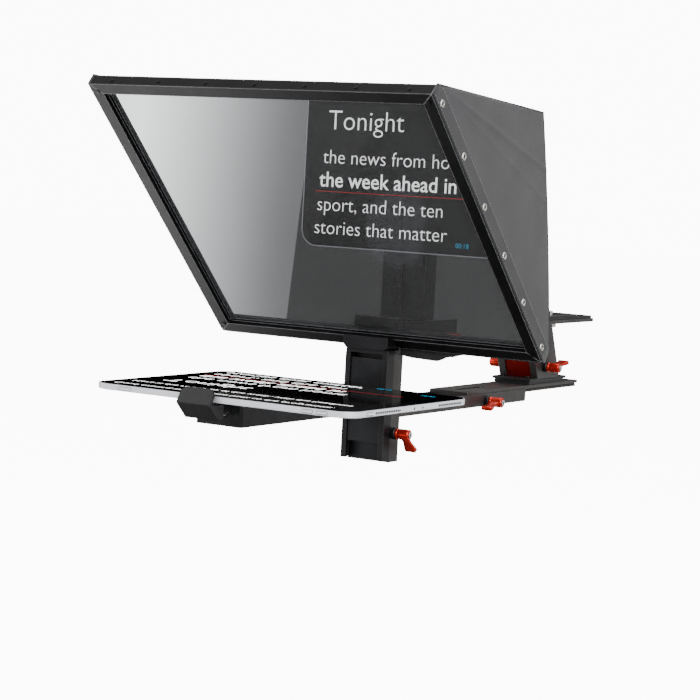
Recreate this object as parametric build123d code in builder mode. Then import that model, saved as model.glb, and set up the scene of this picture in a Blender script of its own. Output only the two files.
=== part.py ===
"""A camera teleprompter: a rail on the tripod, a column with a sliding tablet tray, a 45 degree beam
splitter in a folding frame with a cloth hood, and a sliding riser that carries the camera.

Millimetres. +X is the right-hand side seen from the reader, +Y runs back to the camera, +Z is up.
The origin is the mouth of the 3/8 inch tripod thread, under the middle of the base rail.
"""

from build123d import *
from math import cos, radians, sin, tan
from os import makedirs

makedirs("parts", exist_ok=True)

# ---------------------------------------------------------------- driving dimensions
RUN = 0.05  # radial running clearance of a shaft in its bore
GAP = 0.3  # clearance between plain faces of pieces that move past each other

# base rail and the long plate that slides in its dovetail
RAIL_W, RAIL_L, RAIL_H = 48.0, 275.0, 13.5
DOVETAIL_FLOOR = 9.5
DOVETAIL_W, DOVETAIL_MOUTH = 43.0, 39.0
PLATE_L, PLATE_T = 267.0, 7.5
PLATE_FRONT = 3.0  # y of the sliding plate's front end
TRIPOD_R, QUARTER_R = 3.97, 2.55  # tapping radii of 3/8-16 and 1/4-20 threads
TRIPOD_DEPTH = 8.5
QUARTERS = {-30.0: 7.5, 30.0: 6.5}  # y of each 1/4-20 thread, and its depth
BOLT_X, BOLT_Z, BOLT_R, BOLT_HEAD_R = 12.0, 4.75, 2.0, 3.5  # bolts through the column into the rail
BOLT_DEPTH = 18.0

# column in front of the rail
COLUMN_W, COLUMN_BACK = 49.0, -RAIL_L / 2
FRONT_DEPTH, REAR_DEPTH = 13.5, 19.0
COLUMN_FRONT = COLUMN_BACK - REAR_DEPTH - FRONT_DEPTH
COLUMN_TOP, COLUMN_BOTTOM = 68.0, -42.5
HEAD_T = 4.0  # cap on top of the column
LIP_DEPTH, SLOT_DEPTH = 4.5, 5.0
SLOT_MOUTH, SLOT_W = 38.0, 43.0
COLUMN_WALL = 3.0
CAP_PLATE_T, CAP_PLUG_T = 2.0, 4.0  # plastic cap in the column's lower end

# glass frame: its lower front edge, and its outside size
EDGE_Y, EDGE_Z = -155.0, 71.0
FRAME_W, FRAME_L, FRAME_T = 373.0, 341.0, 12.0
TILT = 45.0
BAR, LIP = 12.0, 3.5  # face of the bar, and the lip that holds the glass
LIP_TOP, LIP_T = 5.0, 1.5  # depth of the lip below the face, and its thickness
GLASS_T, GASKET_T, RETAINER_T = 3.0, 0.5, 1.5
BAR_WALL = 2.0
SNAP_START, SNAP_PITCH, SNAP_COUNT, SNAP_DEPTH = 14.0, 62.0, 6, 7.0
SNAP_R, SNAP_HOLE_R, STUD_R = 4.75, 2.0, 1.9

# fold hinge behind the column's top
HINGE_Y, HINGE_Z = -143.0, 74.5
KNUCKLE_R, PIN_R = 5.5, 2.5
KNUCKLE_HALF = 15.0
FOOT_W, FOOT_FRONT, FOOT_TOP = 51.0, -174.0, 81.0

# cloth hood
CLOTH = 1.2
HOOD_X = FRAME_W / 2 + 0.2  # inner face of a side panel
HOOD_BACK_TOP = (-185.0, 308.0)  # rear upper corner, y and z
HOOD_BACK_MID = (-160.5, 196.0)
HOOD_BACK_LOW = (-143.0, 82.5)
LENS_Z, LENS_R, SLEEVE_R = 189.0, 60.0, 44.0

# tray, clip, stop and tablet
SLIDER_TOP, SLIDER_L = 59.0, 84.0
ARM_W, ARM_FRONT, ARM_TOP, ARM_BOTTOM, ARM_WALL = 50.0, -422.0, 31.4, 9.0, 2.5
PAD_T = 1.5
TABLET_W, TABLET_D, TABLET_T, TABLET_R = 280.6, 214.9, 5.9, 18.0
TABLET_X, TABLET_FRONT = 18.0, -453.5
TABLET_TOP = 38.8
CLIP_W, CLIP_T = 36.0, 3.0
NOSE = (-463.0, 31.0)  # foremost line of the clip, y and z
LIP_TIP = (-454.25, 45.0)
CHIN = (-448.0, 16.5)
ROD_R, ROD_X, ROD_Z = 2.5, 12.0, 20.2
STOP_TRAVEL = 54.0
STOP_D, STOP_W, STOP_H = 12.0, 44.0, 6.0

# riser and camera platform
FLANGE_FRONT, FLANGE_L = 147.0, 90.0
SPACER_FRONT, SPACER_W, SPACER_L = 149.0, 44.0, 82.0
LEAN = 23.0
RISER_W, CHEEK_T = 48.0, 8.0
SPACER_T, FLANGE_T = 4.0, 3.0
RISER_BASE_FRONT, RISER_D = 165.0, 54.0
RISER_H = 60.0
RISER_TRAVEL = 28.0
PLATFORM_FRONT, PLATFORM_BACK, PLATFORM_T = 133.0, 303.0, 4.0
CAMERA_PLATE_FRONT, CAMERA_PLATE_BACK, CAMERA_PLATE_T = 150.0, 299.0, 3.0
CAMERA_SCREW_Y, CAMERA_SCREW_R, CAMERA_NECK_R, CAMERA_THREAD_L = 235.0, 3.17, 2.6, 5.5
CAMERA_TRAVEL = 25.0

# clamping levers: boss and wing in red, collar in black, cap screw in steel
COLLAR_R, COLLAR_T = 6.0, 4.5
BOSS_R, BOSS_L = 5.5, 15.0
WING_L, WING_T, WING_W = 25.0, 4.4, 13.0
STUD_LEVER_R, CAP_R, CAP_T = 2.5, 3.0, 1.2
BASE_LEVER_AT = (45.0, 5.5)  # y and z of the axis
COLUMN_LEVER_AT = (-152.0, -15.0)
RISER_LEVER_AT = (180.0, 36.5)

TILTED = (0, -sin(radians(TILT)), -cos(radians(TILT)))
FRAME_FACE = Plane(origin=(0, EDGE_Y, EDGE_Z), x_dir=(1, 0, 0), z_dir=TILTED)
PLATE_TOP = DOVETAIL_FLOOR + PLATE_T
FLANGE_TOP = PLATE_TOP + SPACER_T + FLANGE_T
RISER_TOP = FLANGE_TOP + RISER_H
COLUMN_BOLTS = [(-BOLT_X, BOLT_Z), (BOLT_X, BOLT_Z)]
FROM_BELOW = (Align.CENTER, Align.CENTER, Align.MIN)
INNER_W = RISER_W - 2 * CHEEK_T


def on_frame(slope, depth):
    """y and z of a point on the tilted frame, up its slope from the lower edge and back from its face."""
    a = radians(TILT)
    return EDGE_Y - slope * cos(a) + depth * sin(a), EDGE_Z + slope * sin(a) + depth * cos(a)


def mitred(length, outer, inner):
    """Corner points of a bar with mitred ends, from one distance inside the outer edge to another."""
    half = length / 2
    return [(outer - half, outer), (half - outer, outer), (half - inner, inner), (inner - half, inner)]


# ================================================================ base (fixed)
with BuildPart() as base_rail:
    with BuildSketch(Plane.XY):
        Rectangle(RAIL_W, RAIL_L)
    extrude(amount=RAIL_H)
    chamfer(base_rail.edges().group_by(Axis.Z)[0].filter_by(Axis.Y), 1.0)
    with BuildSketch(Plane.XZ):
        with BuildLine():
            Polyline(
                (-DOVETAIL_W / 2, DOVETAIL_FLOOR),
                (DOVETAIL_W / 2, DOVETAIL_FLOOR),
                (DOVETAIL_MOUTH / 2, RAIL_H),
                (-DOVETAIL_MOUTH / 2, RAIL_H),
                close=True,
            )
        make_face()
    extrude(amount=RAIL_L, both=True, mode=Mode.SUBTRACT)
    Cylinder(TRIPOD_R, TRIPOD_DEPTH, align=FROM_BELOW, mode=Mode.SUBTRACT)
    for y, depth in QUARTERS.items():
        with Locations((0, y, 0)):
            Cylinder(QUARTER_R, depth, align=FROM_BELOW, mode=Mode.SUBTRACT)
    # holes for the two column bolts, from the rail's front end
    with BuildSketch(Plane.XZ.offset(-COLUMN_BACK)):
        with Locations(*COLUMN_BOLTS):
            Circle(BOLT_R)
    extrude(amount=-BOLT_DEPTH - 4, mode=Mode.SUBTRACT)
    # hole for the clamping lever's stud, through the right wall
    with BuildSketch(Plane.YZ.offset(RAIL_W / 2)):
        with Locations(BASE_LEVER_AT):
            Circle(STUD_LEVER_R + RUN)
    extrude(amount=-10, mode=Mode.SUBTRACT)
base_rail.part.label = "base_rail"
export_step(base_rail.part, "parts/base_rail.step")

with BuildPart() as column_front:
    with BuildSketch(Plane.XY.offset(COLUMN_BOTTOM)):
        with Locations((0, COLUMN_FRONT + FRONT_DEPTH / 2)):
            Rectangle(COLUMN_W, FRONT_DEPTH)
        with Locations((0, COLUMN_FRONT + LIP_DEPTH / 2)):
            Rectangle(SLOT_MOUTH, LIP_DEPTH, mode=Mode.SUBTRACT)
        with Locations((0, COLUMN_FRONT + LIP_DEPTH + SLOT_DEPTH / 2)):
            Rectangle(SLOT_W, SLOT_DEPTH, mode=Mode.SUBTRACT)
    extrude(amount=COLUMN_TOP - HEAD_T - COLUMN_BOTTOM)
column_front.part.label = "column_front"
export_step(column_front.part, "parts/column_front.step")

with BuildPart() as column_rear:
    with BuildSketch(Plane.XY.offset(COLUMN_BOTTOM)):
        with Locations((0, COLUMN_BACK - REAR_DEPTH / 2)):
            Rectangle(COLUMN_W - 1, REAR_DEPTH)
            Rectangle(COLUMN_W - 1 - 2 * COLUMN_WALL, REAR_DEPTH - 2 * COLUMN_WALL, mode=Mode.SUBTRACT)
    extrude(amount=COLUMN_TOP - HEAD_T - COLUMN_BOTTOM)
    chamfer(column_rear.edges().filter_by(Axis.Z).group_by(Axis.Y)[-1], 1.5)
    with BuildSketch(Plane.XZ.offset(-COLUMN_BACK)):
        with Locations(*COLUMN_BOLTS):
            Circle(BOLT_R)
    extrude(amount=COLUMN_WALL + 1, mode=Mode.SUBTRACT)
    with BuildSketch(Plane.YZ.offset(COLUMN_W / 2)):
        with Locations(COLUMN_LEVER_AT):
            Circle(STUD_LEVER_R + RUN)
    extrude(amount=-8, mode=Mode.SUBTRACT)
column_rear.part.label = "column_rear"
export_step(column_rear.part, "parts/column_rear.step")

with BuildPart() as column_end_cap:
    with BuildSketch(Plane.XY.offset(COLUMN_BOTTOM - CAP_PLATE_T)):
        with Locations((0, COLUMN_BACK - REAR_DEPTH / 2)):
            Rectangle(COLUMN_W - 1, REAR_DEPTH)
    extrude(amount=CAP_PLATE_T)
    with BuildSketch(Plane.XY.offset(COLUMN_BOTTOM)):
        with Locations((0, COLUMN_BACK - REAR_DEPTH / 2)):
            Rectangle(COLUMN_W - 1.4 - 2 * COLUMN_WALL, REAR_DEPTH - 0.4 - 2 * COLUMN_WALL)
    extrude(amount=CAP_PLUG_T)
    chamfer(column_end_cap.edges().filter_by(Axis.Z).group_by(Axis.Y)[-1], 1.0)
column_end_cap.part.label = "column_end_cap"
export_step(column_end_cap.part, "parts/column_end_cap.step")

with BuildPart() as column_bolts:
    with BuildSketch(Plane.XZ.offset(-COLUMN_BACK + COLUMN_WALL)):
        with Locations(*COLUMN_BOLTS):
            Circle(BOLT_R)
    extrude(amount=-COLUMN_WALL - BOLT_DEPTH)
    with BuildSketch(Plane.XZ.offset(-COLUMN_BACK + COLUMN_WALL)):
        with Locations(*COLUMN_BOLTS):
            Circle(BOLT_HEAD_R)
            RegularPolygon(1.7, 6, mode=Mode.SUBTRACT)
    extrude(amount=4)
column_bolts.part.label = "column_bolts"
export_step(column_bolts.part, "parts/column_bolts.step")

with BuildPart() as column_head:
    with BuildSketch(Plane.XY.offset(COLUMN_TOP - HEAD_T)):
        with Locations((0, (COLUMN_FRONT + COLUMN_BACK) / 2)):
            Rectangle(COLUMN_W, COLUMN_BACK - COLUMN_FRONT)
    extrude(amount=HEAD_T)
    chamfer(column_head.edges().filter_by(Axis.Z), 1.0)
    with BuildSketch(Plane.YZ):
        with Locations((HINGE_Y, HINGE_Z)):
            Circle(KNUCKLE_R)
        with Locations((HINGE_Y, (HINGE_Z + COLUMN_TOP) / 2)):
            Rectangle(2 * KNUCKLE_R, HINGE_Z - COLUMN_TOP)
    extrude(amount=COLUMN_W / 2, both=True)
    # the middle is left open for the frame's knuckle
    with BuildSketch(Plane.YZ):
        with Locations((HINGE_Y, COLUMN_TOP + KNUCKLE_R + 3)):
            Rectangle(2 * KNUCKLE_R + 2, 2 * KNUCKLE_R + 6)
    extrude(amount=KNUCKLE_HALF + GAP, both=True, mode=Mode.SUBTRACT)
    with BuildSketch(Plane.YZ):
        with Locations((HINGE_Y, HINGE_Z)):
            Circle(PIN_R)
    extrude(amount=COLUMN_W, both=True, mode=Mode.SUBTRACT)
column_head.part.label = "column_head"
export_step(column_head.part, "parts/column_head.step")

with BuildPart() as hinge_pin:
    with BuildSketch(Plane.YZ):
        with Locations((HINGE_Y, HINGE_Z)):
            Circle(PIN_R)
    extrude(amount=COLUMN_W / 2 + 0.5, both=True)
    chamfer(hinge_pin.edges(), 0.4)
hinge_pin.part.label = "hinge_pin"
export_step(hinge_pin.part, "parts/hinge_pin.step")

# ================================================================ folding glass frame
SIDES = {
    "bottom": ((0, 0), (1, 0), FRAME_W),
    "top": ((0, FRAME_L), (-1, 0), FRAME_W),
    "right": ((FRAME_W / 2, FRAME_L / 2), (0, 1), FRAME_L),
    "left": ((-FRAME_W / 2, FRAME_L / 2), (0, -1), FRAME_L),
}
CORNER_SCREWS = [(x * (FRAME_W / 2 - 6.5), y) for x in (-1, 1) for y in (10.0, FRAME_L - 10.0)]
TOP_SCREW_X = [54.0 * i for i in range(-3, 4)]
SNAPS = [SNAP_START + SNAP_PITCH * i for i in range(SNAP_COUNT)]

for side, (middle, along, length) in SIDES.items():
    origin = FRAME_FACE.from_local_coords((*middle, 0))
    direction = FRAME_FACE.from_local_coords((*along, 0)) - FRAME_FACE.origin
    edge = Plane(origin=origin, x_dir=direction, z_dir=FRAME_FACE.z_dir)
    with BuildPart() as member:
        with BuildSketch(edge):
            with BuildLine():
                Polyline(*mitred(length, 0, BAR), close=True)
            make_face()
        extrude(amount=-FRAME_T)
        with BuildSketch(edge.offset(-LIP_TOP)):
            with BuildLine():
                Polyline(*mitred(length, BAR - 1, BAR + LIP), close=True)
            make_face()
        extrude(amount=-LIP_T)
        with BuildSketch(edge.offset(-BAR_WALL)):
            with BuildLine():
                Polyline(*mitred(length, BAR_WALL, BAR - BAR_WALL), close=True)
            make_face()
        extrude(amount=-(FRAME_T - 2 * BAR_WALL), mode=Mode.SUBTRACT)
        if side in ("left", "right"):
            with BuildSketch(FRAME_FACE):
                with Locations(*[p for p in CORNER_SCREWS if (p[0] > 0) == (side == "right")]):
                    Circle(1.2)
            extrude(amount=-BAR_WALL, mode=Mode.SUBTRACT)
            out = 1 if side == "right" else -1
            for slope in SNAPS:
                with BuildSketch(Plane.YZ.offset(out * FRAME_W / 2)):
                    with Locations(on_frame(slope, SNAP_DEPTH)):
                        Circle(STUD_R)
                extrude(amount=-out * BAR_WALL, mode=Mode.SUBTRACT)
        if side == "top":
            with BuildSketch(Plane(edge.origin, x_dir=(1, 0, 0), z_dir=-edge.y_dir)):
                with Locations(*[(x, FRAME_T / 2) for x in TOP_SCREW_X]):
                    Circle(1.0)
            extrude(amount=-BAR_WALL, mode=Mode.SUBTRACT)
    member.part.label = f"frame_{side}"
    export_step(member.part, f"parts/frame_{side}.step")

with BuildPart() as frame_corner_keys:
    with BuildSketch(FRAME_FACE.offset(-BAR_WALL - 0.1)):
        for sx in (-1, 1):
            for sy in (-1, 1):
                x = sx * (FRAME_W / 2 - BAR_WALL - 0.1)
                y = FRAME_L / 2 + sy * (FRAME_L / 2 - BAR_WALL - 0.1)
                with BuildLine():
                    Polyline(
                        (x, y),
                        (x - sx * 34, y),
                        (x - sx * 34, y - sy * 7.6),
                        (x - sx * 7.6, y - sy * 7.6),
                        (x - sx * 7.6, y - sy * 34),
                        (x, y - sy * 34),
                        close=True,
                    )
                make_face()
    extrude(amount=-(FRAME_T - 2 * BAR_WALL - 0.2))
    for slope in (SNAPS[0], SNAPS[-1]):
        with BuildSketch(Plane.YZ):
            with Locations(on_frame(slope, SNAP_DEPTH)):
                Circle(STUD_R + 0.3)
        extrude(amount=FRAME_W, both=True, mode=Mode.SUBTRACT)
    with BuildSketch(FRAME_FACE):
        with Locations(*CORNER_SCREWS):
            Circle(1.2)
    extrude(amount=-6.5, mode=Mode.SUBTRACT)
frame_corner_keys.part.label = "frame_corner_keys"
export_step(frame_corner_keys.part, "parts/frame_corner_keys.step")

with BuildPart() as frame_screws:
    with BuildSketch(FRAME_FACE):
        with Locations(*CORNER_SCREWS):
            Circle(2.2)
    extrude(amount=0.8)
    with BuildSketch(FRAME_FACE):
        with Locations(*CORNER_SCREWS):
            Circle(1.2)
    extrude(amount=-6.0)
    end_face = Plane(FRAME_FACE.from_local_coords((0, FRAME_L, 0)), x_dir=(1, 0, 0), z_dir=FRAME_FACE.y_dir)
    with BuildSketch(end_face):
        with Locations(*[(x, FRAME_T / 2) for x in TOP_SCREW_X]):
            Circle(1.9)
    extrude(amount=0.6)
    with BuildSketch(end_face):
        with Locations(*[(x, FRAME_T / 2) for x in TOP_SCREW_X]):
            Circle(1.0)
    extrude(amount=-BAR_WALL)
frame_screws.part.label = "frame_screws"
export_step(frame_screws.part, "parts/frame_screws.step")

GLASS_FACE = LIP_TOP + LIP_T + GASKET_T
GLASS_W, GLASS_L = FRAME_W - 2 * BAR - 0.6, FRAME_L - 2 * BAR - 0.6
with BuildPart() as glass_gasket:
    with BuildSketch(FRAME_FACE.offset(-(LIP_TOP + LIP_T))):
        with Locations((0, FRAME_L / 2)):
            Rectangle(GLASS_W, GLASS_L)
            Rectangle(FRAME_W - 2 * (BAR + LIP) + 0.6, FRAME_L - 2 * (BAR + LIP) + 0.6, mode=Mode.SUBTRACT)
    extrude(amount=-GASKET_T)
glass_gasket.part.label = "glass_gasket"
export_step(glass_gasket.part, "parts/glass_gasket.step")

with BuildPart() as beam_splitter_glass:
    with BuildSketch(FRAME_FACE.offset(-GLASS_FACE)):
        with Locations((0, FRAME_L / 2)):
            RectangleRounded(GLASS_W, GLASS_L, 1.0)
    extrude(amount=-GLASS_T)
beam_splitter_glass.part.label = "beam_splitter_glass"
export_step(beam_splitter_glass.part, "parts/beam_splitter_glass.step")

with BuildPart() as glass_retainer:
    with BuildSketch(FRAME_FACE.offset(-(GLASS_FACE + GLASS_T))):
        with Locations((0, FRAME_L / 2)):
            Rectangle(GLASS_W, GLASS_L)
            Rectangle(GLASS_W - 10, GLASS_L - 10, mode=Mode.SUBTRACT)
    extrude(amount=-RETAINER_T)
glass_retainer.part.label = "glass_retainer"
export_step(glass_retainer.part, "parts/glass_retainer.step")

# the foot: a cradle under the frame's lower bar, resting on the column and hinged behind it
CRADLE = on_frame(0, FRAME_T)
FOOT_BOTTOM = COLUMN_TOP + 0.4
with BuildPart() as frame_foot:
    with BuildSketch(Plane.YZ):
        with BuildLine():
            Polyline(
                (FOOT_FRONT, FOOT_BOTTOM),
                (FOOT_FRONT, FOOT_TOP),
                on_frame((FOOT_TOP - EDGE_Z) / sin(radians(TILT)), 0),
                (EDGE_Y, EDGE_Z),
                (CRADLE[0] - 3.5, CRADLE[1] - 3.5),
                (HINGE_Y - KNUCKLE_R - 1, FOOT_BOTTOM),
                close=True,
            )
        make_face()
    extrude(amount=FOOT_W / 2, both=True)
    # bevelled lower corners
    with BuildSketch(Plane.XZ):
        for out in (-1, 1):
            with BuildLine():
                Polyline(
                    (out * FOOT_W / 2, FOOT_BOTTOM),
                    (out * (FOOT_W / 2 - 3.5), FOOT_BOTTOM),
                    (out * FOOT_W / 2, FOOT_BOTTOM + 3.5),
                    close=True,
                )
            make_face()
    extrude(amount=300, mode=Mode.SUBTRACT)
    with BuildSketch(Plane.YZ):
        with Locations((HINGE_Y, HINGE_Z)):
            Circle(KNUCKLE_R)
        with BuildLine():
            Polyline(
                (HINGE_Y, HINGE_Z - KNUCKLE_R),
                (HINGE_Y - KNUCKLE_R - 2, HINGE_Z - KNUCKLE_R),
                (CRADLE[0] - 3.5, CRADLE[1] - 3.5),
                (CRADLE[0], CRADLE[1]),
                (HINGE_Y, HINGE_Z),
                close=True,
            )
        make_face()
    extrude(amount=KNUCKLE_HALF, both=True)
    with BuildSketch(Plane.YZ):
        with Locations((HINGE_Y, HINGE_Z)):
            Circle(PIN_R + RUN)
    extrude(amount=FOOT_W, both=True, mode=Mode.SUBTRACT)
frame_foot.part.label = "frame_foot"
export_step(frame_foot.part, "parts/frame_foot.step")

# ---------------------------------------------------------------- cloth hood
for side, out in (("right", 1), ("left", -1)):
    with BuildPart() as panel:
        with BuildSketch(Plane.YZ.offset(out * HOOD_X)):
            with BuildLine():
                Polyline(
                    HOOD_BACK_LOW,
                    (EDGE_Y + 5.0, EDGE_Z - 1.0),
                    on_frame(1.5, 1.2),
                    on_frame(FRAME_L, 1.2),
                    on_frame(FRAME_L + 1, FRAME_T),
                    HOOD_BACK_TOP,
                )
                ThreePointArc(HOOD_BACK_TOP, HOOD_BACK_MID, HOOD_BACK_LOW)
            make_face()
            with Locations(*[on_frame(slope, SNAP_DEPTH) for slope in SNAPS]):
                Circle(STUD_R + RUN, mode=Mode.SUBTRACT)
        extrude(amount=out * CLOTH)
    panel.part.label = f"hood_side_{side}"
    export_step(panel.part, f"parts/hood_side_{side}.step")

TOP_HEM = on_frame(FRAME_L - 0.5, FRAME_T + 1.1)
with BuildPart() as hood_top:
    with BuildSketch(Plane.YZ):
        with BuildLine():
            Polyline(
                TOP_HEM,
                (HOOD_BACK_TOP[0] - 0.3, HOOD_BACK_TOP[1]),
                (HOOD_BACK_TOP[0] - 0.3, HOOD_BACK_TOP[1] - CLOTH),
                (TOP_HEM[0], TOP_HEM[1] - CLOTH),
                close=True,
            )
        make_face()
    extrude(amount=HOOD_X - 0.2, both=True)
hood_top.part.label = "hood_top"
export_step(hood_top.part, "parts/hood_top.step")

BACK_TOP = (HOOD_BACK_TOP[0] - 0.2, HOOD_BACK_TOP[1] - CLOTH - 0.3)
BACK_MID = (HOOD_BACK_MID[0] - 0.2, HOOD_BACK_MID[1])
BACK_LOW = (HOOD_BACK_LOW[0] - 0.2, HOOD_BACK_LOW[1] + 0.3)
with BuildPart() as hood_rear:
    with BuildSketch(Plane.YZ):
        with BuildLine():
            ThreePointArc(BACK_TOP, BACK_MID, BACK_LOW)
            Line(BACK_LOW, (BACK_LOW[0] - CLOTH, BACK_LOW[1]))
            ThreePointArc(
                (BACK_LOW[0] - CLOTH, BACK_LOW[1]),
                (BACK_MID[0] - CLOTH, BACK_MID[1]),
                (BACK_TOP[0] - CLOTH, BACK_TOP[1]),
            )
            Line((BACK_TOP[0] - CLOTH, BACK_TOP[1]), BACK_TOP)
        make_face()
    extrude(amount=HOOD_X - 0.2, both=True)
    with BuildSketch(Plane.XZ):
        with Locations((0, LENS_Z)):
            Circle(LENS_R)
    extrude(amount=400, mode=Mode.SUBTRACT)
hood_rear.part.label = "hood_rear"
export_step(hood_rear.part, "parts/hood_rear.step")

# a soft sleeve that closes round the camera's lens
SLEEVE_FRONT, SLEEVE_BEND, SLEEVE_BACK = -167.0, -147.0, -118.0
with BuildPart() as lens_sleeve:
    with BuildSketch(Plane.XY):
        with BuildLine():
            Polyline(
                (LENS_R - 0.4, SLEEVE_FRONT),
                (LENS_R - 0.4, SLEEVE_BEND),
                (SLEEVE_R, SLEEVE_BACK),
                (SLEEVE_R - CLOTH, SLEEVE_BACK),
                (LENS_R - 0.4 - CLOTH, SLEEVE_BEND),
                (LENS_R - 0.4 - CLOTH, SLEEVE_FRONT),
                close=True,
            )
        make_face()
    revolve(axis=Axis.Y)
lens_sleeve.part.label = "lens_sleeve"
lens_sleeve.part.position = (0, 0, LENS_Z)
export_step(lens_sleeve.part, "parts/lens_sleeve.step")

# loose strip of cloth under the lower bar, with a sag beside the column
FLAP_TOP, FLAP_Y = EDGE_Z + 3.6, EDGE_Y + 4.4
with BuildPart() as hood_bottom_flap:
    with BuildSketch(Plane.XZ.offset(-FLAP_Y)):
        with BuildLine():
            Polyline(
                (90, EDGE_Z - 1),
                (HOOD_X - 1, EDGE_Z - 1),
                (HOOD_X - 1, FLAP_TOP),
                (27.5, FLAP_TOP),
                (27.5, EDGE_Z - 10),
            )
            ThreePointArc((27.5, EDGE_Z - 10), (56, EDGE_Z - 16), (90, EDGE_Z - 1))
        make_face()
        with Locations((-(HOOD_X + 26.5) / 2, EDGE_Z + 1.3)):
            Rectangle(HOOD_X - 28.5, 4.6)
    extrude(amount=-CLOTH)
hood_bottom_flap.part.label = "hood_bottom_flap"
export_step(hood_bottom_flap.part, "parts/hood_bottom_flap.step")

# snap fasteners: a stud through the cloth into the frame, and a ring-shaped cap around it
with BuildPart() as hood_snaps:
    for out in (-1, 1):
        with BuildSketch(Plane.YZ.offset(out * (FRAME_W / 2 - 3))):
            with Locations(*[on_frame(slope, SNAP_DEPTH) for slope in SNAPS]):
                Circle(STUD_R)
        extrude(amount=out * (3 + 0.2 + CLOTH + 1.0))
        with BuildSketch(Plane.YZ.offset(out * (HOOD_X + CLOTH))):
            with Locations(*[on_frame(slope, SNAP_DEPTH) for slope in SNAPS]):
                Circle(SNAP_R)
                Circle(SNAP_HOLE_R, mode=Mode.SUBTRACT)
        extrude(amount=out * 1.4)
hood_snaps.part.label = "hood_snaps"
export_step(hood_snaps.part, "parts/hood_snaps.step")

# ================================================================ sliding plate and riser
with BuildPart() as slide_plate:
    with BuildSketch(Plane.XZ.offset(-PLATE_FRONT)):
        with BuildLine():
            Polyline(
                (-DOVETAIL_W / 2 + 0.15, DOVETAIL_FLOOR + 0.05),
                (DOVETAIL_W / 2 - 0.15, DOVETAIL_FLOOR + 0.05),
                (DOVETAIL_MOUTH / 2 - 0.15, RAIL_H + 0.1),
                (RAIL_W / 2 - 1, RAIL_H + 0.1),
                (RAIL_W / 2 - 1, PLATE_TOP),
                (1 - RAIL_W / 2, PLATE_TOP),
                (1 - RAIL_W / 2, RAIL_H + 0.1),
                (-DOVETAIL_MOUTH / 2 + 0.15, RAIL_H + 0.1),
                close=True,
            )
        make_face()
    extrude(amount=-PLATE_L)
    with BuildSketch(Plane.XY.offset(PLATE_TOP)):
        with Locations((0, PLATE_FRONT + 48)):
            SlotOverall(64, 8, rotation=90)
        with Locations((0, PLATE_FRONT + PLATE_L - 14)):
            SlotOverall(16, 6.6)
    extrude(amount=-PLATE_T - 1, mode=Mode.SUBTRACT)
slide_plate.part.label = "slide_plate"
export_step(slide_plate.part, "parts/slide_plate.step")

FLANGE_BOLTS = [(x, y) for x in (-16.0, 16.0) for y in (156.5, 228.0)]
with BuildPart() as riser_flange:
    with BuildSketch(Plane.XY.offset(PLATE_TOP)):
        with Locations((0, SPACER_FRONT + SPACER_L / 2)):
            Rectangle(SPACER_W, SPACER_L)
    extrude(amount=SPACER_T)
    with BuildSketch(Plane.XY.offset(PLATE_TOP + SPACER_T)):
        with Locations((0, FLANGE_FRONT + FLANGE_L / 2)):
            Rectangle(RISER_W, FLANGE_L)
    extrude(amount=FLANGE_T)
    with BuildSketch(Plane.XY.offset(FLANGE_TOP)):
        with Locations(*FLANGE_BOLTS):
            Circle(1.5)
    extrude(amount=-SPACER_T - FLANGE_T, mode=Mode.SUBTRACT)
riser_flange.part.label = "riser_flange"
export_step(riser_flange.part, "parts/riser_flange.step")

with BuildPart() as riser_bolts:
    with BuildSketch(Plane.XY.offset(FLANGE_TOP)):
        with Locations(*FLANGE_BOLTS):
            Circle(2.6)
            RegularPolygon(1.3, 6, mode=Mode.SUBTRACT)
    extrude(amount=2.0)
    with BuildSketch(Plane.XY.offset(FLANGE_TOP)):
        with Locations(*FLANGE_BOLTS):
            Circle(1.5)
    extrude(amount=-SPACER_T - FLANGE_T + 0.2)
riser_bolts.part.label = "riser_bolts"
export_step(riser_bolts.part, "parts/riser_bolts.step")


def lean_back(height):
    """How far forward the leaning riser has come at a height above its flange."""
    return -height * tan(radians(LEAN))


def leaning_outline(front, depth, low, high):
    """Side outline of a leaning block, from one height above the flange to another."""
    y_low, y_high = front + lean_back(low), front + lean_back(high)
    z_low, z_high = FLANGE_TOP + low, FLANGE_TOP + high
    return [(y_low, z_low), (y_low + depth, z_low), (y_high + depth, z_high), (y_high, z_high)]


# middle of the slot in which a riser lever's stud rises, and the stud's clearance in it
SLOT_MID = (
    RISER_LEVER_AT[0] - RISER_TRAVEL / 2 * sin(radians(LEAN)),
    RISER_LEVER_AT[1] + RISER_TRAVEL / 2 * cos(radians(LEAN)),
)
STUD_SLOT_W = 2 * STUD_LEVER_R + 0.6
for side, out in (("right", 1), ("left", -1)):
    with BuildPart() as cheek:
        with BuildSketch(Plane.YZ.offset(out * INNER_W / 2)):
            with BuildLine():
                Polyline(*leaning_outline(RISER_BASE_FRONT, RISER_D, 0, RISER_H), close=True)
            make_face()
            with Locations(SLOT_MID):
                SlotCenterToCenter(RISER_TRAVEL, STUD_SLOT_W, rotation=90 + LEAN, mode=Mode.SUBTRACT)
        extrude(amount=out * CHEEK_T)
    cheek.part.label = f"riser_cheek_{side}"
    export_step(cheek.part, f"parts/riser_cheek_{side}.step")

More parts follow.
